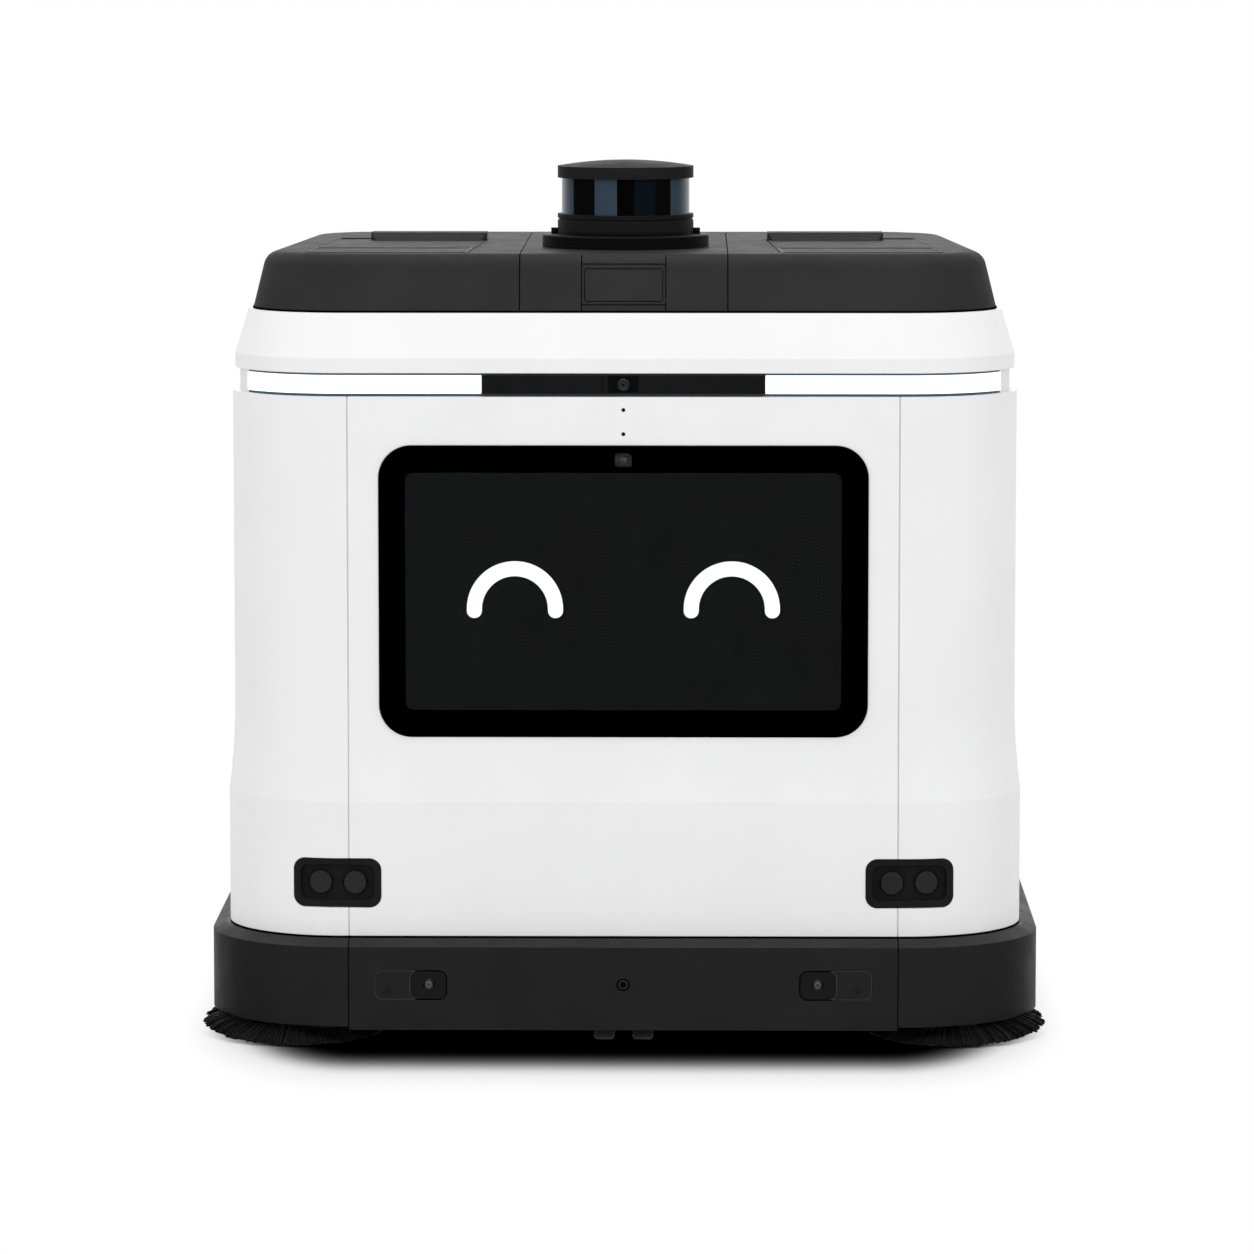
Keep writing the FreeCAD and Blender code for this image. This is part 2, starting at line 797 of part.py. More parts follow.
node(swept_ring("band_ring", [
    (d.band_inset, d.body_top),
    (d.band_inset, lip_bottom),
    (d.band_inset + d.band_wide, lip_bottom),
    (d.band_inset + d.band_wide, d.body_top),
]), "light_band")
strip_ring = swept_ring("strip_ring", [
    (d.strip_inset, strip_low),
    (d.strip_inset, strip_high),
    (d.band_inset - d.fit_gap, strip_high),
    (d.band_inset - d.fit_gap, strip_low),
])
strip_zone = box("strip_zone", -d.bar_inner_end + d.seam_gap, d.bar_inner_end - d.seam_gap,
                 -FAR, ZERO, lowest, highest)
strip_blank = common("strip_blank", strip_ring, strip_zone)
strip_hole = cylinder("strip_hole", d.strip_lens_radius + d.run_gap, d.band_inset,
                      0, -d.skirt_half_depth, strip_lens_z, "Y")
strip_front = -d.skirt_half_depth + d.strip_inset
strip_lines = []
for line_name, line_x in (("joint", -d.line_x), ("left", -d.module_half), ("right", d.module_half)):
    strip_lines.append(box(f"strip_line_{line_name}", line_x - d.line_wide / 2, line_x + d.line_wide / 2,
                           strip_front - d.line_wide, strip_front + d.line_wide, lowest, highest))
node(cut("strip_piece", strip_blank, strip_hole, *strip_lines), "strip_cover")
for side_name, side in SIDES:
    zone = box(f"bar_zone_{side_name}", *side_x(side, d.bar_inner_end, bar_outer_end),
               -FAR, -(d.skirt_half_depth - d.skirt_corner), lowest, highest)
    node(common(f"bar_piece_{side_name}", strip_ring, zone), f"light_bar_{side_name}")


# Lenses: four in the pods, one above the screen, one in the strip, one in each pill window
# and one in the skirt

lenses.append(cylinder("strip_lens", d.strip_lens_radius, d.band_inset - d.fit_gap - d.strip_inset,
                       0, -d.skirt_half_depth + d.strip_inset, strip_lens_z, "Y"))
lenses.append(cylinder("skirt_lens", d.camera_radius, d.skirt_wall - d.pill_sunk,
                       0, skirt_front_y + d.pill_sunk, d.camera_z, "Y"))
for side_name, side in SIDES:
    lenses.append(cylinder(f"pill_lens_{side_name}", d.pill_lens_radius, d.skirt_wall - d.pill_sunk,
                           d.pill_lens_x * side, skirt_front_y + d.pill_sunk, d.camera_z, "Y"))
node(group("lens_group", *lenses), "sensor_lenses")


# Shoulder: an upright lip, a slope and the deck that closes the body, open over each tank

lip_top = lip_bottom + d.lip_high
slope_top = d.lip_inset + d.slope_in
band_inner = d.band_inset + d.band_wide
shoulder = swept_ring("shoulder_ring", [
    (d.lip_inset, lip_bottom),
    (d.lip_inset, lip_top),
    (slope_top, deck_top),
    (slope_top + d.band_wide, deck_top),
    (slope_top + d.band_wide, deck_bottom),
    (slope_top + d.body_wall, deck_bottom),
    (d.lip_inset + d.body_wall, lip_top),
    (d.lip_inset + d.body_wall, lip_bottom + d.body_wall),
    (band_inner, lip_bottom + d.body_wall),
    (band_inner, lip_bottom),
])
deck_inset = slope_top + d.band_wide / 2
deck_outline = new_sketch(shoulder, "deck_outline", "XY_Plane", deck_bottom)
rounded(deck_outline, -(d.skirt_half_width - deck_inset), d.skirt_half_width - deck_inset,
        -(d.skirt_half_depth - deck_inset), d.skirt_half_depth - deck_inset, d.skirt_corner - deck_inset)
pad(shoulder, deck_outline, d.body_wall)
for side_name, side in SIDES:
    mouth = new_sketch(shoulder, f"mouth_{side_name}", "XY_Plane", deck_top)
    rectangle(mouth, *side_x(side, d.mouth_inner, mouth_outer), d.mouth_front, d.mouth_rear)
    pocket(shoulder, mouth, d.body_wall * 2)
node(shoulder, "shoulder_cover")


# Top cover: a leaning wall with a round top edge, in three pieces

def cover_outline(sketch, inset):
    """Draw the cover's plan: round corners, and straight sides that come in towards the back."""
    corner = d.skirt_corner - inset
    front = -(d.skirt_half_depth - inset)
    rear = d.skirt_half_depth - inset
    tangent_x = corner * cosine(d.cover_taper)
    tangent_y = corner * sine(d.cover_taper)
    front_x = d.skirt_half_width - inset - corner
    rear_x = front_x - (rear - front - corner * 2) * sine(d.cover_taper) / cosine(d.cover_taper)
    front_y = front + corner + tangent_y
    rear_y = rear - corner + tangent_y
    return outline(sketch, [
        (front_x + tangent_x, front_y),
        (rear_x + tangent_x, rear_y, "x", rear_x),
        (rear_x, rear),
        (-rear_x, rear, "x", -rear_x),
        (-(rear_x + tangent_x), rear_y),
        (-(front_x + tangent_x), front_y, "x", -front_x),
        (-front_x, front),
        (front_x, front, "x", front_x),
    ])


def cover_block(name, shrink):
    """The cover's outer form, or its inside where it is shrunk by the wall."""
    body = new_body(name)
    sketch = new_sketch(body, f"{name}_outline", "XY_Plane", deck_top)
    cover_outline(sketch, d.cover_inset + shrink)
    raised = pad(body, sketch, d.cover_high - shrink)
    bind(raised, "TaperAngle", -d.cover_lean)
    doc.recompute()
    top = raised.Shape.BoundBox.ZMax
    edges = []
    for number, edge in enumerate(raised.Shape.Edges, start=1):
        if edge.BoundBox.ZMin > top - edge.Tolerance * 10:
            edges.append(f"Edge{number}")
    rounding = body.newObject("PartDesign::Fillet", f"{name}_round")
    rounding.Base = (raised, edges)
    bind(rounding, "Radius", d.cover_round - shrink)
    return body


def lid_prism(name, side, wider, before, behind, low, high):
    """A block of the lid's outline, grown sideways, to the front and to the back."""
    body = new_body(name)
    sketch = new_sketch(body, f"{name}_outline", "XY_Plane", low)
    front = d.lid_front_y - before
    rear = d.lid_rear_y + behind
    outline(sketch, [
        ((d.lid_front_inner - wider) * side, front),
        ((lid_front_outer + wider - d.lid_corner_cut) * side, front),
        ((lid_front_outer + wider) * side, front + d.lid_corner_cut),
        ((lid_rear_outer + wider) * side, rear),
        ((d.lid_rear_inner - wider) * side, rear),
    ])
    pad(body, sketch, high - low)
    return body


def lid_rod(name, side, radius, longer):
    """The hinge rod under the front of a lid, or the bore for it."""
    start, end = side_x(side, d.lid_front_inner - longer, lid_front_outer + longer)
    return cylinder(name, radius, end - start, start, d.lid_front_y + d.lid_pin_back,
                    roof - d.lid_pin_drop, "X")


cover_shell = cut("cover_shell", cover_block("cover_outer", ZERO), cover_block("cover_inner", d.cover_wall))
lid_under = roof - d.lid_thick
pin_reach = d.lid_gap + d.lid_pin_long
scoop_front = d.lid_rear_y + d.lid_gap + d.fit_gap * 10
scoop_rear = d.lid_rear_y + d.grip_over + d.seat_wide
grip_outer = lid_rear_outer - d.grip_deep
lids = {}
for side_name, side in SIDES:
    zone = box(f"cover_zone_{side_name}", *side_x(side, d.cover_seam + d.seam_gap / 2, FAR),
               -FAR, FAR, lowest, highest)
    shell = common(f"cover_part_{side_name}", cover_shell, zone)
    seat = lid_prism(f"lid_seat_{side_name}", side, d.seat_wide, d.seat_wide,
                     d.grip_over + d.seat_wide * 2, roof - d.seat_deep, roof - d.cover_wall / 2)
    with_seat = fuse(f"cover_seated_{side_name}", shell, seat)
    lid_room = lid_prism(f"lid_room_{side_name}", side, d.lid_gap, d.lid_gap, d.lid_gap,
                         lid_under - d.fit_gap, roof + d.lid_thick)
    lid_well = lid_prism(f"lid_well_{side_name}", side, d.lid_gap, d.lid_gap, -d.seat_wide,
                         roof - d.seat_deep * 2, roof)
    rod_bore = lid_rod(f"lid_bore_{side_name}", side, d.lid_pin_radius + d.run_gap, pin_reach + d.fit_gap)
    scoop = box(f"lid_scoop_{side_name}", *side_x(side, d.lid_rear_inner + d.grip_deep, lid_rear_outer),
                scoop_front, scoop_rear, roof - d.scoop_deep, roof + d.grip_high)
    node(cut(f"cover_piece_{side_name}", with_seat, lid_room, lid_well, rod_bore, scoop),
         f"top_cover_{side_name}")
    plate = lid_prism(f"lid_plate_{side_name}", side, ZERO, ZERO, ZERO, lid_under, roof)
    rod = lid_rod(f"lid_rod_{side_name}", side, d.lid_pin_radius, pin_reach)
    grip_span = side_x(side, d.lid_rear_inner, grip_outer)
    grip_foot = box(f"grip_foot_{side_name}", *grip_span, d.lid_rear_y - (d.grip_deep - d.grip_over),
                    d.lid_rear_y, roof - d.lid_thick / 2, roof + d.grip_high)
    grip_bar = box(f"grip_bar_{side_name}", *grip_span, d.lid_rear_y, d.lid_rear_y + d.grip_over,
                   roof + d.lid_gap, roof + d.grip_high)
    whole = fuse(f"lid_{side_name}_blank", plate, rod, grip_foot, grip_bar)
    line = box(f"lid_line_{side_name}", *side_x(side, ZERO, lid_front_outer), d.lid_line_y,
               d.lid_line_y + d.line_wide, roof - d.line_wide, roof + d.line_wide)
    lids[side_name] = cut(f"lid_{side_name}_piece", whole, line)


# Service flap: a leaning plate on a rod along its lower edge, in front of a shallow port recess

lean_cos = cosine(d.cover_lean)
lean_sin = sine(d.cover_lean)
flap_y = -(d.skirt_half_depth - d.cover_inset) + d.flap_foot * lean_sin / lean_cos
flap_z = deck_top + d.flap_foot


def leaning(y, z):
    """A point in the flap's own plane: y inwards from its face, z up along it."""
    y, z = as_size(y), as_size(z)
    return flap_y + y * lean_cos + z * lean_sin, flap_z - y * lean_sin + z * lean_cos


def leaning_box(name, half_wide, y0, y1, z0, z1):
    """A block square to the flap."""
    block = box(name, -half_wide, half_wide, y0, y1, z0, z1)
    return place(block, -half_wide, *leaning(y0, z0), -d.cover_lean)


def flap_rod(name, radius, longer):
    """The rod along the flap's lower edge, or the bore for it."""
    half = d.flap_wide / 2 + longer
    return cylinder(name, radius, half * 2, -half, *leaning(d.flap_thick / 2, d.flap_thick), "X")


flap_half = d.flap_wide / 2
flap_reach = d.flap_gap + d.flap_pin_long
centre_zone = box("cover_centre_zone", -d.cover_seam + d.seam_gap / 2, d.cover_seam - d.seam_gap / 2,
                  -FAR, FAR, lowest, highest)
port_block = leaning_box("port_block", flap_half + d.seat_wide, d.cover_wall / 2, d.port_deep + d.cover_wall,
                         -d.cover_wall / 2, d.flap_high + d.cover_wall)
flap_room = leaning_box("flap_room", flap_half + d.flap_gap, -d.port_deep, d.flap_thick + d.fit_gap,
                        -d.flap_gap, d.flap_high + d.flap_gap)
tail_room = leaning_box("flap_tail_room", flap_half + d.flap_gap, ZERO, d.flap_thick * 2,
                        -d.flap_gap, d.flap_thick * 3)
port_room = leaning_box("port_room", flap_half - d.cover_wall, ZERO, d.port_deep,
                        -d.flap_gap, d.flap_high - d.cover_wall)
cover_centre = fuse("cover_centre_blank", common("cover_centre_part", cover_shell, centre_zone), port_block)
node(cut("cover_centre_piece", cover_centre, flap_room, tail_room, port_room,
         flap_rod("flap_bore", d.flap_pin_radius + d.run_gap, flap_reach + d.fit_gap)), "top_cover_centre")
flap_plate = leaning_box("flap_plate", flap_half, ZERO, d.flap_thick, ZERO, d.flap_high)
node(fuse("flap_piece", flap_plate, flap_rod("flap_rod", d.flap_pin_radius, flap_reach)), "service_flap")
for side_name, side in SIDES:
    node(lids[side_name], f"lid_{side_name}")


# Laser scanner: base with a flange and a spindle, window, cap and the rotor behind the window

def on_roof(body):
    """Stand a turned body on the roof at the scanner's axis."""
    return place(body, 0, d.scanner_y, roof)


edge_break = d.fit_gap * 3
groove_low = d.scanner_base_high - d.flange_high / 2
groove_high = groove_low + edge_break * 2
window_top = d.scanner_base_high + d.window_high
cap_edge = window_top + d.cap_high
scanner_base = turned("scanner_base_body", [
    (ZERO, ZERO),
    (d.flange_radius, ZERO),
    (d.flange_radius, d.flange_high - edge_break),
    (d.flange_radius - edge_break, d.flange_high),
    (d.scanner_radius, d.flange_high),
    (d.scanner_radius, groove_low),
    (d.scanner_radius - edge_break, groove_low),
    (d.scanner_radius - edge_break, groove_high),
    (d.scanner_radius, groove_high),
    (d.scanner_radius, d.scanner_base_high),
    (d.spindle_radius, d.scanner_base_high),
    (d.spindle_radius, window_top),
    (ZERO, window_top),
])
on_roof(scanner_base)
ears = []
for side_name, side in SIDES:
    ears.append(cylinder(f"scanner_ear_{side_name}", d.ear_radius, d.flange_high / 2 + d.ear_high,
                         (d.scanner_radius + d.ear_radius * 0.8) * side, d.scanner_y,
                         roof + d.flange_high / 2))
node(fuse("scanner_base_piece", scanner_base, *ears), "scanner_base")
node(on_roof(turned("scanner_window", [
    (d.window_radius, d.scanner_base_high),
    (d.window_radius, window_top),
    (d.window_radius - d.window_wall, window_top),
    (d.window_radius - d.window_wall, d.scanner_base_high),
])), "scanner_window")
node(on_roof(turned("scanner_cap", [
    (ZERO, window_top),
    (d.scanner_radius, window_top),
    (d.scanner_radius, cap_edge, "x", ZERO),
    (ZERO, cap_edge + d.dome_high),
])), "scanner_cap")
rotor_low = d.scanner_base_high + d.fit_gap
rotor_bore = d.spindle_radius + d.run_gap
scanner_rotor = turned("scanner_rotor", [
    (rotor_bore, rotor_low),
    (d.rotor_radius, rotor_low),
    (d.rotor_radius, rotor_low + d.rotor_high),
    (rotor_bore, rotor_low + d.rotor_high),
])
eye_outline = new_sketch(scanner_rotor, "rotor_eye", "XY_Plane", rotor_low + d.rotor_high)
rectangle(eye_outline, -d.rotor_radius / 2, d.rotor_radius / 2, -d.rotor_radius, -d.rotor_radius * 0.75)
pocket(scanner_rotor, eye_outline, d.rotor_high - d.window_wall)
node(on_roof(scanner_rotor), "scanner_rotor")


# Side brushes: each turns on a shaft that leans forwards, so its front edge is lowest

tilt_cos = cosine(d.brush_tilt)
tilt_sin = sine(d.brush_tilt)
brush_y = -(d.skirt_half_depth + d.brush_reach) + d.brush_radius * tilt_cos + d.brush_tip * tilt_sin
brush_z = d.brush_lift + d.brush_radius * tilt_sin
shaft_y = brush_y - (d.chassis_top - brush_z) * tilt_sin / tilt_cos
shaft_bore = d.brush_shaft_radius + d.run_gap
bristle_root = d.hub_radius + d.fit_gap
boss_radius = d.brush_shaft_radius * 2
below_chassis = box("below_chassis", -FAR, FAR, -FAR, FAR, -d.chassis_top, d.chassis_top)
for side_name, side in SIDES:
    motor = turned(f"brush_motor_body_{side_name}", [
        (shaft_bore, d.brush_motor_high / 4),
        (d.brush_motor_radius, d.brush_motor_high / 4),
        (d.brush_motor_radius, d.brush_motor_high - edge_break),
        (d.brush_motor_radius - edge_break, d.brush_motor_high),
        (ZERO, d.brush_motor_high),
        (ZERO, d.brush_shaft_high + d.fit_gap),
        (shaft_bore, d.brush_shaft_high + d.fit_gap),
    ])
    place(motor, brush_x * side, brush_y, brush_z, d.brush_tilt)
    node(cut(f"brush_motor_seated_{side_name}", motor, below_chassis), f"brush_motor_{side_name}")
    hub = turned(f"brush_hub_body_{side_name}", [
        (ZERO, d.hub_low),
        (d.hub_radius, d.hub_low),
        (d.hub_radius, d.hub_high),
        (boss_radius, d.hub_high * 2),
        (d.brush_shaft_radius, d.hub_high * 2),
        (d.brush_shaft_radius, d.brush_shaft_high),
        (ZERO, d.brush_shaft_high),
    ])
    node(place(hub, brush_x * side, brush_y, brush_z, d.brush_tilt), f"brush_hub_{side_name}")
    bristles = turned(f"brush_bristle_body_{side_name}", [
        (bristle_root, d.hub_low),
        (bristle_root, d.hub_high),
        (d.brush_radius, d.brush_tip),
        (d.brush_radius, ZERO),
        (d.brush_radius - d.brush_reach, ZERO),
    ])
    node(place(bristles, brush_x * side, brush_y, brush_z, d.brush_tilt), f"brush_bristles_{side_name}")


# Main roller across the middle, in a housing let into the chassis

roller_z = d.roller_lift + d.roller_radius
tunnel_half = d.roller_long / 2 + d.roller_end_gap
housing_half = tunnel_half + d.roller_end_wall
tunnel_radius = d.roller_radius + d.roller_room
housing_reach = tunnel_radius + d.roller_skin
housing_foot = roller_z - d.roller_shaft_radius * 2


def across(name, radius, half):
    """A round bar across the robot on the roller's axis."""
    return cylinder(name, radius, half * 2, -half, d.roller_y, roller_z, "X")


roller_block = box("roller_block", -housing_half, housing_half, d.roller_y - housing_reach,
                   d.roller_y + housing_reach, housing_foot, roller_z + housing_reach)
roller_rim = box("roller_rim", -housing_half - d.roller_flange, housing_half + d.roller_flange,
                 d.roller_y - housing_reach - d.roller_flange, d.roller_y + housing_reach + d.roller_flange,
                 d.chassis_top, d.chassis_top + d.roller_end_gap)
roller_mouth = box("roller_mouth", -tunnel_half, tunnel_half, d.roller_y - tunnel_radius,
                   d.roller_y + tunnel_radius, lowest, roller_z)
node(cut("roller_housing_piece", fuse("roller_housing_blank", roller_block, roller_rim),
         across("roller_tunnel", tunnel_radius, tunnel_half), roller_mouth,
         across("roller_bore", d.roller_shaft_radius + d.run_gap, FAR)), "roller_housing")
node(fuse("roller_core_piece", across("roller_drum", d.roller_core_radius, d.roller_long / 2),
          across("roller_shaft", d.roller_shaft_radius, housing_half)), "roller_core")
node(cut("roller_sleeve", across("roller_sleeve_outer", d.roller_radius, d.roller_long / 2),
         across("roller_sleeve_bore", d.roller_core_radius + d.fit_gap, FAR)), "roller_bristles")


# Drive wheels: a spoked rim section and a tyre on the axle of a gear motor

rim_radius = d.wheel_radius - d.tyre_thick
rim_lip = rim_radius - d.axle_radius
wheel_hub = d.axle_radius * 2.5
web = d.wheel_wide / 8
wheel_half = d.wheel_wide / 2
tread_edge = d.tyre_thick / 3
groove_in = d.wheel_wide / 8
groove_out = groove_in + d.tread_groove
groove_floor = d.wheel_radius - d.tread_deep
motor_z = d.chassis_top + d.motor_radius
for side_name, side in SIDES:
    rim = turned(f"wheel_rim_{side_name}", [
        (d.axle_radius + d.run_gap, -wheel_half),
        (wheel_hub, -wheel_half),
        (wheel_hub, -web),
        (rim_lip, -web),
        (rim_lip, -wheel_half),
        (rim_radius, -wheel_half),
        (rim_radius, wheel_half),
        (rim_lip, wheel_half),
        (rim_lip, web),
        (wheel_hub, web),
        (wheel_hub, wheel_half),
        (d.axle_radius + d.run_gap, wheel_half),
    ])
    tyre = turned(f"wheel_tyre_{side_name}", [
        (rim_radius + d.run_gap, -wheel_half),
        (d.wheel_radius - tread_edge, -wheel_half),
        (d.wheel_radius, -wheel_half + tread_edge),
        (d.wheel_radius, -groove_out),
        (groove_floor, -groove_out),
        (groove_floor, -groove_in),
        (d.wheel_radius, -groove_in),
        (d.wheel_radius, groove_in),
        (groove_floor, groove_in),
        (groove_floor, groove_out),
        (d.wheel_radius, groove_out),
        (d.wheel_radius, wheel_half - tread_edge),
        (d.wheel_radius - tread_edge, wheel_half),
        (rim_radius + d.run_gap, wheel_half),
    ])
    for shape, name in ((rim, "wheel"), (tyre, "tyre")):
        place(shape, wheel_x * side, d.wheel_y, d.wheel_radius, 90, (0, 1, 0))
        node(shape, f"{name}_{side_name}")
    box_outer = wheel_x - wheel_half - d.wheel_room / 2
    box_inner = box_outer - d.gearbox_wide
    gearbox = box(f"gearbox_{side_name}", *side_x(side, box_inner, box_outer),
                  d.wheel_y - d.gearbox_deep / 2, d.wheel_y + d.gearbox_deep / 2,
                  d.chassis_top, d.chassis_top + d.gearbox_high)
    start, end = side_x(side, d.battery_wide / 2 + d.motor_gap, box_inner)
    can = cylinder(f"motor_can_{side_name}", d.motor_radius, end - start, start, d.wheel_y, motor_z, "X")
    start, end = side_x(side, box_inner, wheel_x + wheel_half)
    axle = cylinder(f"axle_{side_name}", d.axle_radius, end - start, start, d.wheel_y, d.wheel_radius, "X")
    node(fuse(f"drive_motor_piece_{side_name}", gearbox, can, axle), f"drive_motor_{side_name}")


# Front caster: a swivel fork and two wheels on one axle

caster_y = -(d.skirt_half_depth - d.skirt_wall) + d.caster_room + d.caster_radius + d.caster_trail
caster_axle_y = caster_y - d.caster_trail
disc_top = chassis_bottom - d.fit_gap
disc_low = disc_top - d.caster_disc_high
disc_mid = disc_top - d.caster_disc_high / 2
leg = d.caster_axle_radius * 2
fork = new_body("caster_leg")
leg_outline = new_sketch(fork, "caster_leg_outline", "YZ_Plane", -d.caster_block / 2)
outline(leg_outline, [
    (caster_axle_y - leg, d.caster_radius - leg),
    (caster_axle_y + leg, d.caster_radius - leg),
    (caster_y + leg, disc_mid),
    (caster_y - d.caster_disc_radius, disc_mid),
    (caster_axle_y - leg, d.caster_radius + leg),
])
pad(fork, leg_outline, d.caster_block)
wheel_start = d.caster_block / 2 + d.caster_side_gap
axle_half = wheel_start + d.caster_wide
node(fuse("caster_fork_piece", fork,
          cylinder("caster_disc", d.caster_disc_radius, d.caster_disc_high, 0, caster_y, disc_low),
          cylinder("caster_stem", d.caster_stem_radius, d.chassis_top + d.caster_stem_over - disc_mid,
                   0, caster_y, disc_mid),
          cylinder("caster_axle", d.caster_axle_radius, axle_half * 2,
                   -axle_half, caster_axle_y, d.caster_radius, "X")), "caster_fork")
caster_wheels = []
for side_name, side in SIDES:
    caster_edge = d.caster_wide / 8
    roll = turned(f"caster_roll_{side_name}", [
        (d.caster_axle_radius + d.run_gap, ZERO),
        (d.caster_radius - caster_edge, ZERO),
        (d.caster_radius, caster_edge),
        (d.caster_radius, d.caster_wide - caster_edge),
        (d.caster_radius - caster_edge, d.caster_wide),
        (d.caster_axle_radius + d.run_gap, d.caster_wide),
    ])
    start, end = side_x(side, wheel_start, axle_half)
    caster_wheels.append(place(roll, start, caster_axle_y, d.caster_radius, 90, (0, 1, 0)))
node(group("caster_wheel_pair", *caster_wheels), "caster_wheel")


# Squeegee: a bar with two blades, on two arms that hinge under the chassis

arm_z = d.squeegee_low + d.squeegee_high - d.arm_high / 2
arm_pin_y = squeegee_y - d.arm_long
arm_nose = d.arm_pin_radius + d.blade_thick
squeegee_parts = [
    box("squeegee_bar", -d.squeegee_half, d.squeegee_half, squeegee_y, squeegee_y + d.squeegee_deep,
        d.squeegee_low, d.squeegee_low + d.squeegee_high),
]
chassis_parts = []
arm_bores = []
for side_name, side in SIDES:
    arm_inner = d.arm_x - d.arm_wide / 2
    arm_outer = d.arm_x + d.arm_wide / 2
    squeegee_parts.append(box(f"squeegee_arm_{side_name}", *side_x(side, arm_inner, arm_outer),
                              arm_pin_y - arm_nose, squeegee_y + d.blade_thick,
                              arm_z - d.arm_high / 2, arm_z + d.arm_high / 2))
    start, end = side_x(side, arm_inner - d.lug_thick, arm_outer + d.lug_thick)
    arm_bores.append(cylinder(f"squeegee_bore_{side_name}", d.arm_pin_radius + d.run_gap, end - start,
                              start, arm_pin_y, arm_z, "X"))
    chassis_parts.append(cylinder(f"squeegee_pin_{side_name}", d.arm_pin_radius, end - start,
                                  start, arm_pin_y, arm_z, "X"))
    for edge_name, near, far in (("inner", arm_inner - d.lug_thick, arm_inner - d.fit_gap),
                                 ("outer", arm_outer + d.fit_gap, arm_outer + d.lug_thick)):
        chassis_parts.append(box(f"squeegee_lug_{side_name}_{edge_name}", *side_x(side, near, far),
                                 arm_pin_y - arm_nose, arm_pin_y + arm_nose, arm_z - arm_nose, d.chassis_top))
node(cut("squeegee_piece", fuse("squeegee_blank", *squeegee_parts), *arm_bores), "squeegee_holder")
blade_middle = squeegee_y + d.squeegee_deep / 2
blades = []
for edge_name, start in (("front", blade_middle - d.blade_gap / 2 - d.blade_thick),
                         ("rear", blade_middle + d.blade_gap / 2)):
    blades.append(box(f"squeegee_blade_{edge_name}", -d.squeegee_half, d.squeegee_half,
                      start, start + d.blade_thick, d.blade_lift, d.squeegee_low))
node(group("squeegee_blade_pair", *blades), "squeegee_blades")


# Chassis plate, with slots for the wheels and roller, shaft holes and the squeegee lugs

chassis = new_body("chassis_body")
chassis_inset = d.skirt_wall + d.fit_gap
plate_outline = new_sketch(chassis, "chassis_outline", "XY_Plane", chassis_bottom)
rounded(plate_outline, -(d.skirt_half_width - chassis_inset), d.skirt_half_width - chassis_inset,
        -(d.skirt_half_depth - chassis_inset), d.skirt_half_depth - chassis_inset,
        d.skirt_corner - chassis_inset)
pad(chassis, plate_outline, d.chassis_thick)
slots = new_sketch(chassis, "chassis_roller_slot", "XY_Plane", d.chassis_top)
slot_reach = housing_reach + d.fit_gap
rectangle(slots, -housing_half - d.fit_gap, housing_half + d.fit_gap,
          d.roller_y - slot_reach, d.roller_y + slot_reach)
pocket(chassis, slots, d.chassis_thick * 2)
holes = new_sketch(chassis, "chassis_holes", "XY_Plane", d.chassis_top)
circle(holes, 0, caster_y, d.caster_stem_radius + d.run_gap)
for side_name, side in SIDES:
    circle(holes, brush_x * side, shaft_y, boss_radius)
pocket(chassis, holes, d.chassis_thick * 2)
for side_name, side in SIDES:
    slot = new_sketch(chassis, f"chassis_wheel_slot_{side_name}", "XY_Plane", d.chassis_top)
    slot_long = d.wheel_radius + d.wheel_room
    slot_half = wheel_half + d.wheel_room
    rectangle(slot, *side_x(side, wheel_x - slot_half, wheel_x + slot_half),
              d.wheel_y - slot_long, d.wheel_y + slot_long)
    pocket(chassis, slot, d.chassis_thick * 2)
node(fuse("chassis_piece", chassis, *chassis_parts), "chassis_plate")


# Inside: a frame on four posts carries the two tanks, and between them the suction fan,
# water pump and control unit; the battery stands on the chassis

shelf_top = d.shelf_low + d.shelf_thick
frame_parts = [
    box("frame_shelf", -shelf_half_wide, shelf_half_wide, d.shelf_front, d.shelf_rear,
        d.shelf_low, shelf_top),
]
post_half = d.post_side / 2
for side_name, side in SIDES:
    for row_name, row_y in (("front", d.post_front_y), ("rear", d.post_rear_y)):
        frame_parts.append(box(f"frame_post_{row_name}_{side_name}",
                               *side_x(side, post_x - post_half, post_x + post_half),
                               row_y - post_half, row_y + post_half, d.chassis_top, d.shelf_low))
node(fuse("frame_piece", *frame_parts), "tank_frame")
tank_top = deck_bottom - d.fit_gap
tank_corner = d.tank_wall * 4
for (side_name, side), tank_name in zip(SIDES, ("clean_tank", "waste_tank")):
    tank = new_body(f"{tank_name}_body")
    tank_outline = new_sketch(tank, f"{tank_name}_outline", "XY_Plane", shelf_top)
    start, end = side_x(side, d.tank_inner, tank_outer)
    rounded(tank_outline, start, end, d.tank_front, d.tank_rear, tank_corner)
    pad(tank, tank_outline, tank_top - shelf_top)
    hollow = new_sketch(tank, f"{tank_name}_hollow", "XY_Plane", tank_top)
    rounded(hollow, start + d.tank_wall, end - d.tank_wall, d.tank_front + d.tank_wall,
            d.tank_rear - d.tank_wall, tank_corner - d.tank_wall)
    pocket(tank, hollow, tank_top - shelf_top - d.tank_wall)
    node(tank, tank_name)

battery = new_body("battery_body")
battery_outline = new_sketch(battery, "battery_outline", "XY_Plane", d.chassis_top)
rounded(battery_outline, -d.battery_wide / 2, d.battery_wide / 2, d.battery_front,
        d.battery_front + d.battery_deep, d.tank_wall * 2)
pad(battery, battery_outline, d.battery_high)
node(battery, "battery_pack")

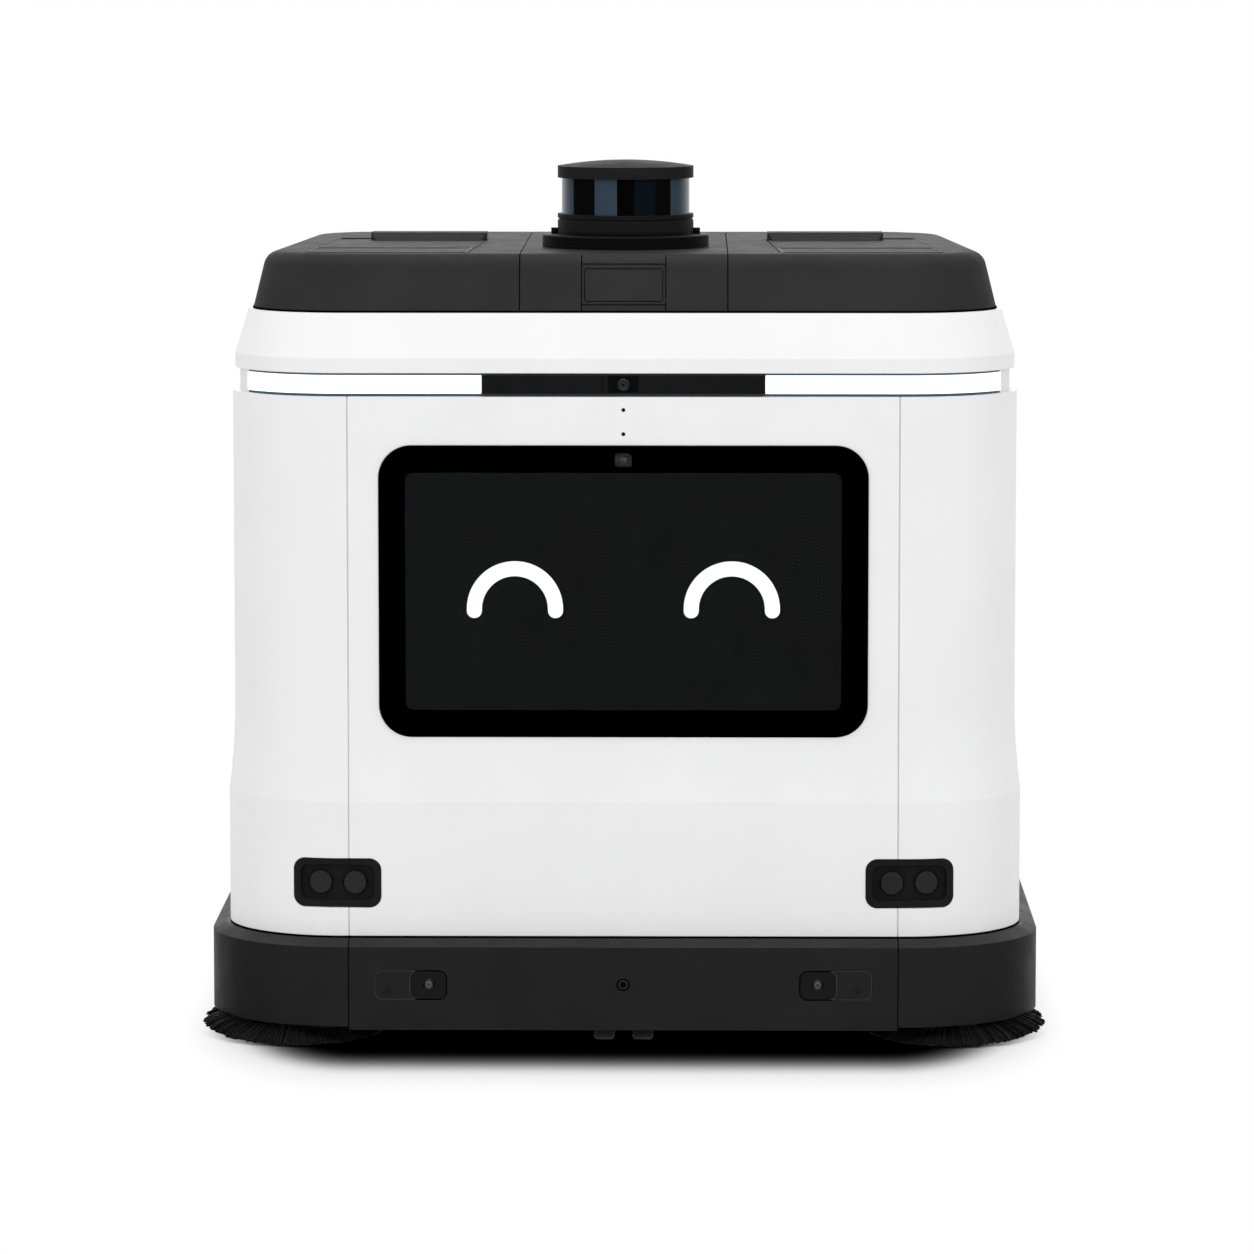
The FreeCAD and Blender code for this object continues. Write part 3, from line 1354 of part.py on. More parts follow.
fan_neck = d.fan_radius / 2
fan = turned("fan_body", [
    (ZERO, ZERO),
    (d.fan_radius, ZERO),
    (d.fan_radius, d.fan_high / 2),
    (fan_neck, d.fan_high / 2),
    (fan_neck, d.fan_high),
    (ZERO, d.fan_high),
])
node(place(fan, 0, d.fan_y, shelf_top), "suction_fan")

pump_half = d.pump_side / 2
pump_base = box("pump_base", -pump_half, pump_half, d.pump_y - pump_half, d.pump_y + pump_half,
                shelf_top, shelf_top + d.pump_high / 2)
pump_can = cylinder("pump_can", pump_half - d.tank_wall, d.pump_high, 0, d.pump_y, shelf_top)
node(fuse("pump_piece", pump_base, pump_can), "water_pump")

control = new_body("control_body")
control_outline = new_sketch(control, "control_outline", "XY_Plane", shelf_top)
rectangle(control_outline, -d.control_wide / 2, d.control_wide / 2, d.control_y - d.control_deep / 2,
          d.control_y + d.control_deep / 2)
pad(control, control_outline, d.control_high)
fin_outline = new_sketch(control, "fin_outline", "XY_Plane", shelf_top)
rectangle(fin_outline, -d.control_wide / 2, -d.control_wide / 2 + d.fin_thick,
          d.control_y + d.control_deep / 2, d.control_y + d.control_deep / 2 + d.fin_deep)
fin = pad(control, fin_outline, d.control_high)
fins = control.newObject("PartDesign::LinearPattern", "control_fins")
fins.Originals = [fin]
fins.Direction = (fin_outline, ["H_Axis"])
bind(fins, "Length", d.control_wide - d.fin_thick)
bind(fins, "Occurrences", d.fin_count)
control.Tip = fins
node(control, "control_unit")


# Back: charge block with two contacts, emergency stop and power button in the rear panel

charge_rear = d.skirt_half_depth + d.brush_reach - d.contact_thick
charge_block = new_body("charge_body")
charge_outline = new_sketch(charge_block, "charge_outline", "XZ_Plane", -d.skirt_half_depth)
rounded(charge_outline, -d.charge_half, d.charge_half, d.charge_low, d.charge_low + d.charge_high,
        d.charge_high / 4)
pad(charge_block, charge_outline, charge_rear - d.skirt_half_depth, back=True)
node(charge_block, "charge_block")
contact_middle = d.charge_low + d.charge_high / 2
contacts = []
for side_name, side in SIDES:
    contacts.append(box(f"charge_contact_{side_name}",
                        *side_x(side, d.contact_x - d.contact_wide / 2, d.contact_x + d.contact_wide / 2),
                        charge_rear, charge_rear + d.contact_thick,
                        contact_middle - d.contact_tall / 2, contact_middle + d.contact_tall / 2))
node(group("charge_contact_pair", *contacts), "charge_contacts")

stop_button = turned("stop_body", [
    (ZERO, -d.stop_stem_long),
    (d.stop_stem_radius, -d.stop_stem_long),
    (d.stop_stem_radius, ZERO),
    (d.stop_radius, ZERO),
    (d.stop_radius, d.stop_cap / 2, "x", ZERO),
    (ZERO, d.stop_cap),
])
place(stop_button, d.stop_x, rear_y + d.stop_travel + d.seam_gap, button_z, -90)
node(stop_button, "emergency_stop")
power_button = turned("power_body", [
    (ZERO, d.power_proud - d.power_long),
    (d.power_radius, d.power_proud - d.power_long),
    (d.power_radius, d.power_proud - edge_break),
    (d.power_radius - edge_break, d.power_proud),
    (ZERO, d.power_proud),
])
node(place(power_button, d.power_x, rear_y, button_z, -90), "power_button")

doc.recompute()


# Check every piece, then write it

for item in doc.Objects:
    if "Invalid" in item.State or "Error" in item.State:
        raise RuntimeError(f"{item.Name} failed: {item.State}")
for piece in nodes:
    if piece.Shape.isNull() or not piece.Shape.isValid():
        raise RuntimeError(f"{piece.Label} has no valid shape")
os.makedirs("parts", exist_ok=True)
for piece in nodes:
    piece.Shape.exportStep(f"parts/{piece.Label}.step")
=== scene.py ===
import math
import random

import bmesh
import bpy
from mathutils import Matrix, Vector
from mathutils.bvhtree import BVHTree


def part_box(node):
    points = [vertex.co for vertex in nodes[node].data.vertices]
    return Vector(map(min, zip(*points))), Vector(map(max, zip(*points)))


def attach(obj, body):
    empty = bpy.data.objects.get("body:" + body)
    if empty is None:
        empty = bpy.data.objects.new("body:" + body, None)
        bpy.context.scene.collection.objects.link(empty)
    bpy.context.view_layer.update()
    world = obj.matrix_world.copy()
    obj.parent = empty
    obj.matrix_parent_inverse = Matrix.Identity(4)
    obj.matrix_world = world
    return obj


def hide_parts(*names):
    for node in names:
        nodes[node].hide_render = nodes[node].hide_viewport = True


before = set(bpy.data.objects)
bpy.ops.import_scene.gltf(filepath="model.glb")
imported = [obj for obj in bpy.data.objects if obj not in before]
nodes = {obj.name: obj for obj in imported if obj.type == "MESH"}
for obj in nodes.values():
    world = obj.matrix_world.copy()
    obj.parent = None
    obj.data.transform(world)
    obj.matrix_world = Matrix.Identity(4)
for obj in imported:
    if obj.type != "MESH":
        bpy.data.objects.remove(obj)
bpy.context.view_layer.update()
scene = bpy.context.scene

MM = 0.001
SIDES = (("left", -1.0), ("right", 1.0))
# how far a piece that is set on another sinks into it
BITE = 0.1 * MM


# Node trees

class Graph:
    """A node tree with short calls for adding, setting and joining nodes."""

    def __init__(self, owner):
        owner.use_nodes = True
        self.owner = owner
        self.tree = owner.node_tree
        self.shader = self.tree.nodes.get("Principled BSDF")

    def add(self, kind, inputs=None, **settings):
        """A node with these settings; an input that is a socket is joined, any other is set."""
        node = self.tree.nodes.new("ShaderNode" + kind)
        for key, value in settings.items():
            setattr(node, key, value)
        for key, value in (inputs or {}).items():
            self.put(node.inputs[key], value)
        return node

    def put(self, socket, value):
        if isinstance(value, bpy.types.NodeSocket):
            self.tree.links.new(value, socket)
        else:
            socket.default_value = value

    def surface(self, **inputs):
        """Set or join the shader's own inputs, with spaces written as underscores."""
        for key, value in inputs.items():
            self.put(self.shader.inputs[key.replace("_", " ")], value)

    def point(self):
        """The point in the part's own frame, in metres."""
        return self.add("TexCoord").outputs["Object"]

    def stretched(self, x, y, z):
        """The point, scaled by these three numbers."""
        return self.add("Mapping", {"Vector": self.point(), "Scale": (x, y, z)}).outputs["Vector"]

    def axis(self, name):
        """One coordinate of the point."""
        return self.add("SeparateXYZ", {"Vector": self.point()}).outputs[name]

    def math(self, operation, a, b=0.0):
        return self.add("Math", {0: a, 1: b}, operation=operation).outputs[0]

    def noise(self, scale, detail=3.0, where=None):
        inputs = {"Vector": where or self.point(), "Scale": scale, "Detail": detail}
        return self.add("TexNoise", inputs).outputs["Fac"]

    def ramp(self, value, low, high, start=0.0, end=1.0):
        """value from low..high to start..end, smooth at both ends."""
        inputs = {0: value, 1: low, 2: high, 3: start, 4: end}
        return self.add("MapRange", inputs, interpolation_type="SMOOTHSTEP").outputs[0]

    def mix(self, factor, a, b):
        """A colour between a and b."""
        return self.add("Mix", {0: factor, 6: a, 7: b}, data_type="RGBA").outputs[2]

    def wave(self, name, pitch):
        """A wave along one axis, between -1 and 1."""
        return self.math("SINE", self.math("MULTIPLY", self.axis(name), 2.0 * math.pi / pitch))

    def bump(self, height, strength, distance, normal):
        """The normal, tilted by the slopes of a height."""
        inputs = {"Height": height, "Strength": strength, "Distance": distance, "Normal": normal}
        return self.add("Bump", inputs).outputs["Normal"]

    def soft_edges(self, radius):
        """A normal that rounds sharp edges by this radius."""
        return self.add("Bevel", {"Radius": radius}, samples=4).outputs["Normal"]

    def off_box(self, across, up, middle, half, corner):
        """How far a point of a plane lies outside a rounded rectangle; inside it is below zero."""
        over = []
        for value, centre, reach in zip((across, up), middle, half):
            off = self.math("ABSOLUTE", self.math("SUBTRACT", value, centre))
            over.append(self.math("MAXIMUM", self.math("SUBTRACT", off, reach - corner), 0.0))
        flat = self.add("CombineXYZ", {"X": over[0], "Y": over[1]}).outputs[0]
        length = self.add("VectorMath", {0: flat}, operation="LENGTH").outputs["Value"]
        return self.math("SUBTRACT", length, corner)

    def tint(self, factor, tone):
        """Move the base colour towards a tone by this factor."""
        base = self.shader.inputs["Base Color"]
        self.put(base, self.mix(factor, base.links[0].from_socket, tone))


def grey(level, blue=0.0):
    return (level, level, level + blue, 1.0)


def new_material(name):
    return Graph(bpy.data.materials.new(name))


def moulded(name, dark, light, rough, grain, grain_depth, edge, blotch=14.0, **more):
    """Moulded plastic: faint tone blotches, a fine surface grain and softened edges."""
    graph = new_material(name)
    tone = graph.noise(blotch, 4.0)
    graph.surface(Base_Color=graph.mix(graph.ramp(tone, 0.3, 0.7), dark, light))
    graph.surface(Roughness=graph.ramp(graph.noise(blotch * 5.0, 4.0), 0.25, 0.75, *rough))
    rounded = graph.soft_edges(edge * MM)
    graph.surface(Normal=graph.bump(graph.noise(grain, 2.0), grain_depth, 0.3 * MM, rounded))
    graph.surface(**more)
    return graph


def metal(name, dark, light, rough, along):
    """Metal with fine drawn lines; along is the scale on each axis."""
    graph = new_material(name)
    lines = graph.noise(1500.0, 2.0, graph.stretched(*along))
    graph.surface(Base_Color=graph.mix(graph.ramp(lines, 0.3, 0.7), dark, light))
    graph.surface(Roughness=graph.ramp(lines, 0.25, 0.75, *rough), Metallic=1.0)
    graph.surface(Normal=graph.bump(lines, 0.03, 0.05 * MM, graph.soft_edges(0.4 * MM)))
    return graph


# Materials: one for each slot of the record, and some for single nodes and pieces

# heights between which dust on the body and scuffs on the skirt fade out
DUST_HEIGHTS = (83.0 * MM, 112.0 * MM)
SCUFF_HEIGHTS = (16.0 * MM, 50.0 * MM)


def white_shell():
    """White plastic with a little dust at the body's foot."""
    graph = moulded("white_shell", grey(0.775), grey(0.79, 0.004), (0.36, 0.44), 900.0, 0.03, 0.9)
    low = graph.ramp(graph.axis("Z"), *DUST_HEIGHTS, 1.0, 0.0)
    dust = graph.math("MULTIPLY", low, graph.ramp(graph.noise(60.0, 5.0), 0.42, 0.75))
    graph.tint(graph.math("MULTIPLY", dust, 0.06), (0.52, 0.50, 0.47, 1.0))
    return graph


def skirt_black():
    """Black plastic, scuffed near the floor."""
    graph = moulded("skirt_black", grey(0.0118), grey(0.0138), (0.48, 0.60), 2100.0, 0.16, 0.7, 9.0,
                    Specular_IOR_Level=0.22)
    scratch = graph.noise(40.0, 6.0, graph.stretched(0.35, 0.35, 9.0))
    low = graph.ramp(graph.axis("Z"), *SCUFF_HEIGHTS, 1.0, 0.0)
    scuff = graph.math("MULTIPLY", low, graph.ramp(scratch, 0.56, 0.72))
    graph.tint(graph.math("MULTIPLY", scuff, 0.2), grey(0.03))
    return graph


PILL_LONG = 56.0 * MM
PILL_SQUARE = 29.0 * MM
PILL_CORNER = 6.0 * MM
PILL_DOT = (181.3 * MM, 43.8 * MM)
PILL_DOT_RADIUS = 1.9 * MM


def pill_window():
    """The skirt windows: the skirt's tone, a darker square round the lens and a small dot ring."""
    graph = moulded("pill_window", grey(0.0120), grey(0.0138), (0.46, 0.56), 1500.0, 0.05, 0.4,
                    Specular_IOR_Level=0.22)
    low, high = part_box("skirt_windows")
    across = graph.math("ABSOLUTE", graph.axis("X"))
    up = graph.axis("Z")
    half = (PILL_SQUARE / 2.0, (high.z - low.z) / 2.0)
    middle = (high.x - PILL_LONG + half[0], (low.z + high.z) / 2.0)
    square = graph.off_box(across, up, middle, half, PILL_CORNER)
    inside = graph.ramp(square, -0.2 * MM, 0.0, 1.0, 0.0)
    dot = graph.off_box(across, up, PILL_DOT, (PILL_DOT_RADIUS,) * 2, PILL_DOT_RADIUS)
    ring = graph.ramp(graph.math("ABSOLUTE", dot), 0.3 * MM, 0.6 * MM, 1.0, 0.0)
    graph.tint(inside, grey(0.0072))
    graph.tint(ring, grey(0.0045))
    return graph


# heights above the scanner's foot between which its dark flange ends
FLANGE_EDGE = (11.0 * MM, 14.0 * MM)


def scanner_shell():
    """The scanner's base, with a darker flange at its foot."""
    graph = moulded("scanner_shell", grey(0.0085), grey(0.0100), (0.5, 0.6), 1900.0, 0.08, 0.6,
                    Specular_IOR_Level=0.12)
    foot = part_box("scanner_base")[0].z
    flange = graph.ramp(graph.axis("Z"), foot + FLANGE_EDGE[0], foot + FLANGE_EDGE[1], 1.0, 0.0)
    graph.tint(flange, grey(0.0022))
    return graph


def band_shell():
    """The recess that holds the light strip: white, and dark slate behind the light bars."""
    graph = moulded("band_shell", grey(0.74), grey(0.76), (0.4, 0.5), 900.0, 0.03, 0.6)
    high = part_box("light_bar_right")[1]
    across = graph.math("ABSOLUTE", graph.axis("X"))
    beside = graph.ramp(across, high.x - 0.5 * MM, high.x + 1.0 * MM, 1.0, 0.0)
    ahead = graph.ramp(graph.axis("Y"), high.y - 0.5 * MM, high.y + 1.0 * MM, 1.0, 0.0)
    graph.tint(graph.math("MULTIPLY", beside, ahead), (0.05, 0.06, 0.072, 1.0))
    return graph


STRIP_MODULE_HALF = 11.2 * MM
STRIP_MODULE_CORNER = 4.0 * MM


def strip_black():
    """The strip between the light bars, with a darker camera module at its middle."""
    graph = moulded("strip_black", grey(0.0072), grey(0.0082), (0.26, 0.34), 900.0, 0.02, 0.4,
                    Specular_IOR_Level=0.25)
    low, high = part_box("strip_cover")
    half = (STRIP_MODULE_HALF, (high.z - low.z) / 2.0 + STRIP_MODULE_CORNER)
    middle = (0.0, low.z + half[1] + 0.8 * MM)
    module = graph.off_box(graph.axis("X"), graph.axis("Z"), middle, half, STRIP_MODULE_CORNER)
    inside = graph.ramp(module, -0.15 * MM, 0.15 * MM, 1.0, 0.0)
    graph.tint(inside, grey(0.0025))
    return graph


def cover_glass():
    """Clear glass with faint smears."""
    graph = new_material("cover_glass")
    smear = graph.noise(22.0, 5.0, graph.stretched(1.0, 1.0, 0.4))
    graph.surface(Base_Color=(0.96, 0.97, 0.98, 1.0), Transmission_Weight=1.0, IOR=1.14)
    graph.surface(Roughness=graph.ramp(smear, 0.45, 0.8, 0.0, 0.035))
    return graph


SCREEN_ROW = 0.9 * MM
LIGHT_DOT = 11.0 * MM


def screen():
    """A dark screen with a faint glow and fine rows."""
    graph = new_material("screen")
    rows = graph.wave("Z", SCREEN_ROW)
    glow = graph.ramp(graph.noise(5.0, 1.0), 0.2, 0.8, 0.9, 1.1)
    lit = graph.math("MULTIPLY", glow, graph.ramp(rows, -1.0, 1.0, 0.94, 1.06))
    graph.surface(Base_Color=graph.mix(graph.ramp(rows, -1.0, 1.0), grey(0.002), grey(0.003)))
    graph.surface(Roughness=0.25, Specular_IOR_Level=0.0)
    graph.surface(Emission_Color=graph.mix(lit, grey(0.0), (0.0024, 0.0025, 0.0027, 1.0)))
    graph.surface(Emission_Strength=1.0)
    return graph


def screen_lit():
    """A lit shape on the screen, with the screen's fine rows in it."""
    graph = new_material("screen_lit")
    rows = graph.wave("Z", SCREEN_ROW)
    lit = graph.mix(graph.ramp(rows, -1.0, 1.0), (0.94, 0.96, 0.98, 1.0), grey(1.0))
    graph.surface(Base_Color=grey(0.1), Roughness=0.5, Emission_Color=lit, Emission_Strength=1.05)
    return graph


def light_bar():
    """A lit bar, bluer at its edges, with faint dots of light behind."""
    graph = new_material("light")
    low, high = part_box("light_bar_left")
    middle = (low.z + high.z) / 2.0
    half = (high.z - low.z) / 2.0
    off = graph.math("ABSOLUTE", graph.math("SUBTRACT", graph.axis("Z"), middle))
    rim = graph.ramp(off, half * 0.6, half)
    dotted = graph.ramp(graph.wave("X", LIGHT_DOT), -1.0, 1.0, 0.0, 0.06)
    inner = graph.mix(dotted, grey(1.0), (0.9, 0.96, 1.0, 1.0))
    colour = graph.mix(rim, inner, (0.62, 0.80, 1.0, 1.0))
    graph.surface(Base_Color=grey(0.8), Roughness=0.35, Emission_Color=colour, Emission_Strength=1.15)
    graph.surface(Normal=graph.soft_edges(0.5 * MM))
    return graph


def scanner_glass():
    """Dark glass with painted reflections: slate and navy bands round the scanner."""
    graph = new_material("scanner_glass")
    low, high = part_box("scanner_window")
    middle = (low + high) / 2.0
    axis = (middle.x, middle.y, 0.0)
    moved = graph.add("VectorMath", {0: graph.point(), 1: axis}, operation="SUBTRACT")
    around = graph.add("TexGradient", {"Vector": moved.outputs[0]}, gradient_type="RADIAL")
    bands = graph.add("ValToRGB", {"Fac": around.outputs["Fac"]})
    slate = (0.036, 0.056, 0.078, 1.0)
    navy = (0.003, 0.006, 0.010, 1.0)
    # painted reflections, as stops: share of a turn, with the front at a quarter, and the tone from there on
    painted_reflection_stops = (
        (0.000, grey(0.002)), (0.020, slate), (0.098, grey(0.0025)), (0.168, slate), (0.228, grey(0.001)),
        (0.272, navy), (0.325, grey(0.0025)), (0.372, slate), (0.480, grey(0.002)), (0.560, slate),
        (0.620, grey(0.002)), (0.700, slate), (0.780, grey(0.001)), (0.840, navy), (0.920, grey(0.002)),
    )
    elements = bands.color_ramp.elements
    elements[0].position, elements[0].color = painted_reflection_stops[0]
    elements[1].position, elements[1].color = painted_reflection_stops[-1]
    for position, colour in painted_reflection_stops[1:-1]:
        elements.new(position).color = colour
    bands.color_ramp.interpolation = "CONSTANT"
    graph.surface(Base_Color=bands.outputs["Color"], Specular_IOR_Level=0.25, Coat_Weight=0.15)
    graph.surface(Roughness=graph.ramp(graph.noise(90.0, 4.0), 0.4, 0.8, 0.10, 0.18))
    return graph


def bristle():
    """Nylon strands, each with a tone of its own."""
    graph = new_material("bristle")
    each = graph.add("NewGeometry").outputs["Random Per Island"]
    along = graph.ramp(graph.noise(900.0, 2.0), 0.35, 0.7, 0.6, 1.0)
    tone = graph.math("MULTIPLY", graph.math("POWER", each, 3.0), along)
    graph.surface(Base_Color=graph.mix(tone, grey(0.0006), grey(0.005)))
    graph.surface(Roughness=graph.ramp(graph.noise(300.0), 0.3, 0.7, 0.45, 0.62), Specular_IOR_Level=0.14)
    return graph


def tyre():
    """Rubber with some dust."""
    graph = moulded("tyre", grey(0.012), grey(0.02), (0.72, 0.86), 1700.0, 0.3, 0.5)
    dust = graph.math("MULTIPLY", graph.ramp(graph.noise(70.0, 6.0), 0.5, 0.75), 0.25)
    graph.tint(dust, (0.055, 0.05, 0.045, 1.0))
    return graph


def tank():
    """Milky plastic that lets some light in."""
    graph = moulded("tank", (0.62, 0.66, 0.68, 1.0), (0.70, 0.73, 0.74, 1.0), (0.42, 0.55), 500.0, 0.08, 1.2,
                    Subsurface_Weight=0.35, Subsurface_Radius=(0.02, 0.022, 0.024))
    return graph


# for each plain plastic: its dark and light tone, roughness, grain, depth of the grain, width of the
# soft edge in millimetres, and specular level
PLASTICS = {
    "cover_black": (grey(0.0215), grey(0.0255), (0.56, 0.66), 1700.0, 0.12, 0.9, 0.10),
    "trim_black": (grey(0.0100), grey(0.0120), (0.30, 0.40), 900.0, 0.04, 0.4, 0.25),
    "bezel_black": (grey(0.0045), grey(0.0055), (0.12, 0.20), 300.0, 0.01, 0.4, 0.20),
    # the lighter grey next is a lit copy of the black plastics: painted highlight on thin raised rims and
    # beads
    "painted_highlight_grey": (grey(0.036), grey(0.044), (0.40, 0.50), 1500.0, 0.03, 0.2, 0.30),
    # the near-black plastic without gloss next is painted shade, for gaps, seams and shadow lines
    "painted_shade_black": (grey(0.0008), grey(0.0012), (0.85, 0.95), 900.0, 0.02, 0.2, 0.0),
    # the casters' near-black is partly their black rubber and partly painted shade under the part
    "caster_black_and_shade": (grey(0.0016), grey(0.0024), (0.70, 0.80), 1700.0, 0.20, 0.5, 0.10),
    "lens_black": (grey(0.020), grey(0.025, 0.002), (0.14, 0.22), 400.0, 0.01, 0.3, 0.35),
    "lens_dark": (grey(0.0015), grey(0.0022), (0.10, 0.16), 400.0, 0.01, 0.2, 0.30),
    # the light grey next stands in for a glossy lens's reflection: painted reflection on the pill lenses
    "lens_painted_reflection": (grey(0.055), grey(0.075, 0.003), (0.16, 0.24), 700.0, 0.05, 0.2, 0.5),
    "screw_black": (grey(0.018), grey(0.026), (0.34, 0.44), 900.0, 0.08, 0.2, 0.5),
    "scanner_black": (grey(0.0125), grey(0.0145), (0.50, 0.60), 1900.0, 0.08, 0.6, 0.05),
    "hub": (grey(0.02), grey(0.03), (0.40, 0.50), 1200.0, 0.06, 0.6, 0.5),
    "rubber": (grey(0.018), grey(0.028, 0.002), (0.62, 0.75), 1500.0, 0.12, 0.3, 0.5),
    "rim": (grey(0.16), grey(0.20), (0.38, 0.50), 1100.0, 0.10, 0.6, 0.5),
    "frame_metal": (grey(0.085), grey(0.11), (0.48, 0.60), 700.0, 0.25, 0.6, 0.5),
    "battery": ((0.02, 0.026, 0.04, 1.0), (0.026, 0.034, 0.05, 1.0), (0.44, 0.55), 1300.0, 0.12, 0.6, 0.5),
    "stop_red": ((0.50, 0.012, 0.01, 1.0), (0.56, 0.018, 0.014, 1.0), (0.22, 0.32), 600.0, 0.03, 0.8, 0.5),
    "button_grey": (grey(0.10), grey(0.13), (0.32, 0.42), 900.0, 0.05, 0.6, 0.5),
}
# shader inputs that only one plastic has
EXTRAS = {"lens_black": {"Coat_Weight": 0.3}, "screw_black": {"Metallic": 0.6}}
# for each metal: its dark and light tone, roughness, and the scale of its lines on each axis
METALS = {
    "steel": (grey(0.47), grey(0.53), (0.30, 0.38), (1.0, 0.06, 1.0)),
    "motor": (grey(0.18), grey(0.22), (0.36, 0.44), (0.06, 1.0, 1.0)),
    "contact": ((0.68, 0.47, 0.19, 1.0), (0.72, 0.50, 0.21, 1.0), (0.24, 0.30), (5.0, 5.0, 0.2)),
}
# materials with marks or light of their own
MARKED = (white_shell, skirt_black, pill_window, scanner_shell, band_shell, strip_black, cover_glass,
          screen, screen_lit, light_bar, scanner_glass, bristle, tyre, tank)


def build_materials():
    """Every material by its name."""
    made = []
    for name, (*look, specular) in PLASTICS.items():
        made.append(moulded(name, *look, Specular_IOR_Level=specular, **EXTRAS.get(name, {})))
    made.extend(metal(name, *look) for name, look in METALS.items())
    made.extend(make() for make in MARKED)
    return {graph.owner.name: graph.owner for graph in made}


# nodes whose look differs from the other nodes of their slot
OWN_LOOKS = {
    "display_housing": "bezel_black", "strip_cover": "strip_black", "light_band": "band_shell",
    "scanner_base": "scanner_shell", "caster_wheel": "caster_black_and_shade", "caster_fork": "caster_black_and_shade",
    "skirt_windows": "pill_window",
}


def dress_nodes():
    """Give each CAD node its own material, or else the material of its slot."""
    for name, item in nodes.items():
        for place in item.material_slots:
            place.material = MATERIALS[OWN_LOOKS.get(name, place.material.name.split(".")[0])]


for material in list(bpy.data.materials):
    material.name = material.name + ".cad"
MATERIALS = build_materials()
dress_nodes()


# Pieces

def mesh_object(name, mesh):
    """An object in the scene from a bmesh."""
    data = bpy.data.meshes.new(name)
    mesh.to_mesh(data)
    mesh.free()
    item = bpy.data.objects.new(name, data)
    scene.collection.objects.link(item)
    return item


def new_piece(name, mesh, slot, body, *looks):
    """A piece of the object from a bmesh, on a body, with its slot's material or these looks."""
    bmesh.ops.recalc_face_normals(mesh, faces=mesh.faces)
    item = mesh_object(name, mesh)
    for look in looks or (slot,):
        item.data.materials.append(MATERIALS[look])
    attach(item, body)
    return item


def loft(mesh, rings, looks=None, smooth=False, joined=False):
    """Faces between rings of points; the first and last are closed, or joined to each other.
    A ring may be a single point."""
    made = []
    for ring in rings:
        made.append([mesh.verts.new(point) for point in ring])
    following = made[1:] + made[:1] if joined else made[1:]
    for index, (first, second) in enumerate(zip(made, following)):
        for step in range(max(len(first), len(second))):
            after = step + 1
            corners = []
            for ring, place in ((first, step), (first, after), (second, after), (second, step)):
                corner = ring[place % len(ring)]
                if corner not in corners:
                    corners.append(corner)
            face = mesh.faces.new(corners)
            face.material_index = looks[index] if looks else 0
            face.smooth = smooth
    for ring in (made[0], made[-1]):
        if len(ring) > 2 and not joined:
            mesh.faces.new(ring)


def lofted(rings, joined=False):
    """A bmesh of one loft."""
    mesh = bmesh.new()
    loft(mesh, rings, joined=joined)
    return mesh


def turned_ring(place, radius, height, steps=36, corners=0):
    """A ring about the Z axis of place, round or with this many corners; at no radius, one point."""
    if radius == 0.0:
        return [place @ Vector((0.0, 0.0, height))]
    ring = []
    for step in range(steps):
        turn = 2.0 * math.pi * step / steps
        reach = radius
        if corners:
            half = math.pi / corners
            reach = radius * math.cos(half) / math.cos(turn % (2.0 * half) - half)
        ring.append(place @ Vector((reach * math.cos(turn), reach * math.sin(turn), height)))
    return ring


def stand_at(place, out):
    """A frame at this place whose Z axis points out."""
    return Matrix.Translation(place) @ out.to_track_quat("Z", "Y").to_matrix().to_4x4()


def search_tree(*names):
    """A tree of the faces of these nodes, to find where a line meets them."""
    points = []
    faces = []
    for name in names:
        data = nodes[name].data
        start = len(points)
        points.extend(vert.co.copy() for vert in data.vertices)
        faces.extend([start + index for index in face.vertices] for face in data.polygons)
    return BVHTree.FromPolygons(points, faces)


def meet(tree, x, z, facing=-1.0):
    """Where a level line along Y, from outside, first meets a tree: the place and the face's normal."""
    place, normal, _, _ = tree.ray_cast(Vector((x, facing, z)), Vector((0.0, -facing, 0.0)))
    return place, normal


def bead(mesh, ring_at, wide, low, high):
    """A raised bead; ring_at gives the points of an edge from its inset and its height."""
    edges = ((0.0, low), (0.0, high), (wide, high), (wide, low))
    loft(mesh, [ring_at(inset, height) for inset, height in edges], joined=True)


def upright_bar(mesh, tree, left, right, beside, run, count, facing, sunk, deep):
    """A bar that follows a face upwards, from sunk to deep below it; the face is found beside it."""
    rings = []
    for step in range(count + 1):
        z = run[0] + (run[1] - run[0]) * step / count
        face = meet(tree, beside, z, facing)[0].y
        near, far = face - facing * sunk, face - facing * deep
        corners = ((left, near), (right, near), (right, far), (left, far))
        rings.append([Vector((x, y, z)) for x, y in corners])
    loft(mesh, rings)


def solids_of(name):
    """The separate solids of a node, each as its points and faces."""
    mesh = bmesh.new()
    mesh.from_mesh(nodes[name].data)
    bmesh.ops.remove_doubles(mesh, verts=mesh.verts, dist=0.001 * MM)
    mesh.normal_update()
    done = set()
    solids = []
    for first in mesh.verts:
        if first in done:
            continue
        done.add(first)
        points = [first]
        for vert in points:
            for edge in vert.link_edges:
                other = edge.other_vert(vert)
                if other not in done:
                    done.add(other)
                    points.append(other)
        members = set(points)
        own = [face for face in mesh.faces if face.verts[0] in members]
        faces = [(face.normal.copy(), face.calc_area()) for face in own]
        solids.append(([vert.co.copy() for vert in points], faces))
    mesh.free()
    return solids


def strand(mesh, points, widths, sides=4):
    """A thin tapered rod along the points."""
    rings = []
    for index, point in enumerate(points):
        ahead = points[min(index + 1, len(points) - 1)]
        behind = points[max(index - 1, 0)]
        run = (ahead - behind).normalized()
        across = run.orthogonal().normalized()
        up = run.cross(across)
        ring = []
        for side in range(sides):
            turn = 2.0 * math.pi * side / sides
            ring.append(point + (across * math.cos(turn) + up * math.sin(turn)) * widths[index])
        rings.append(ring)
    loft(mesh, rings)


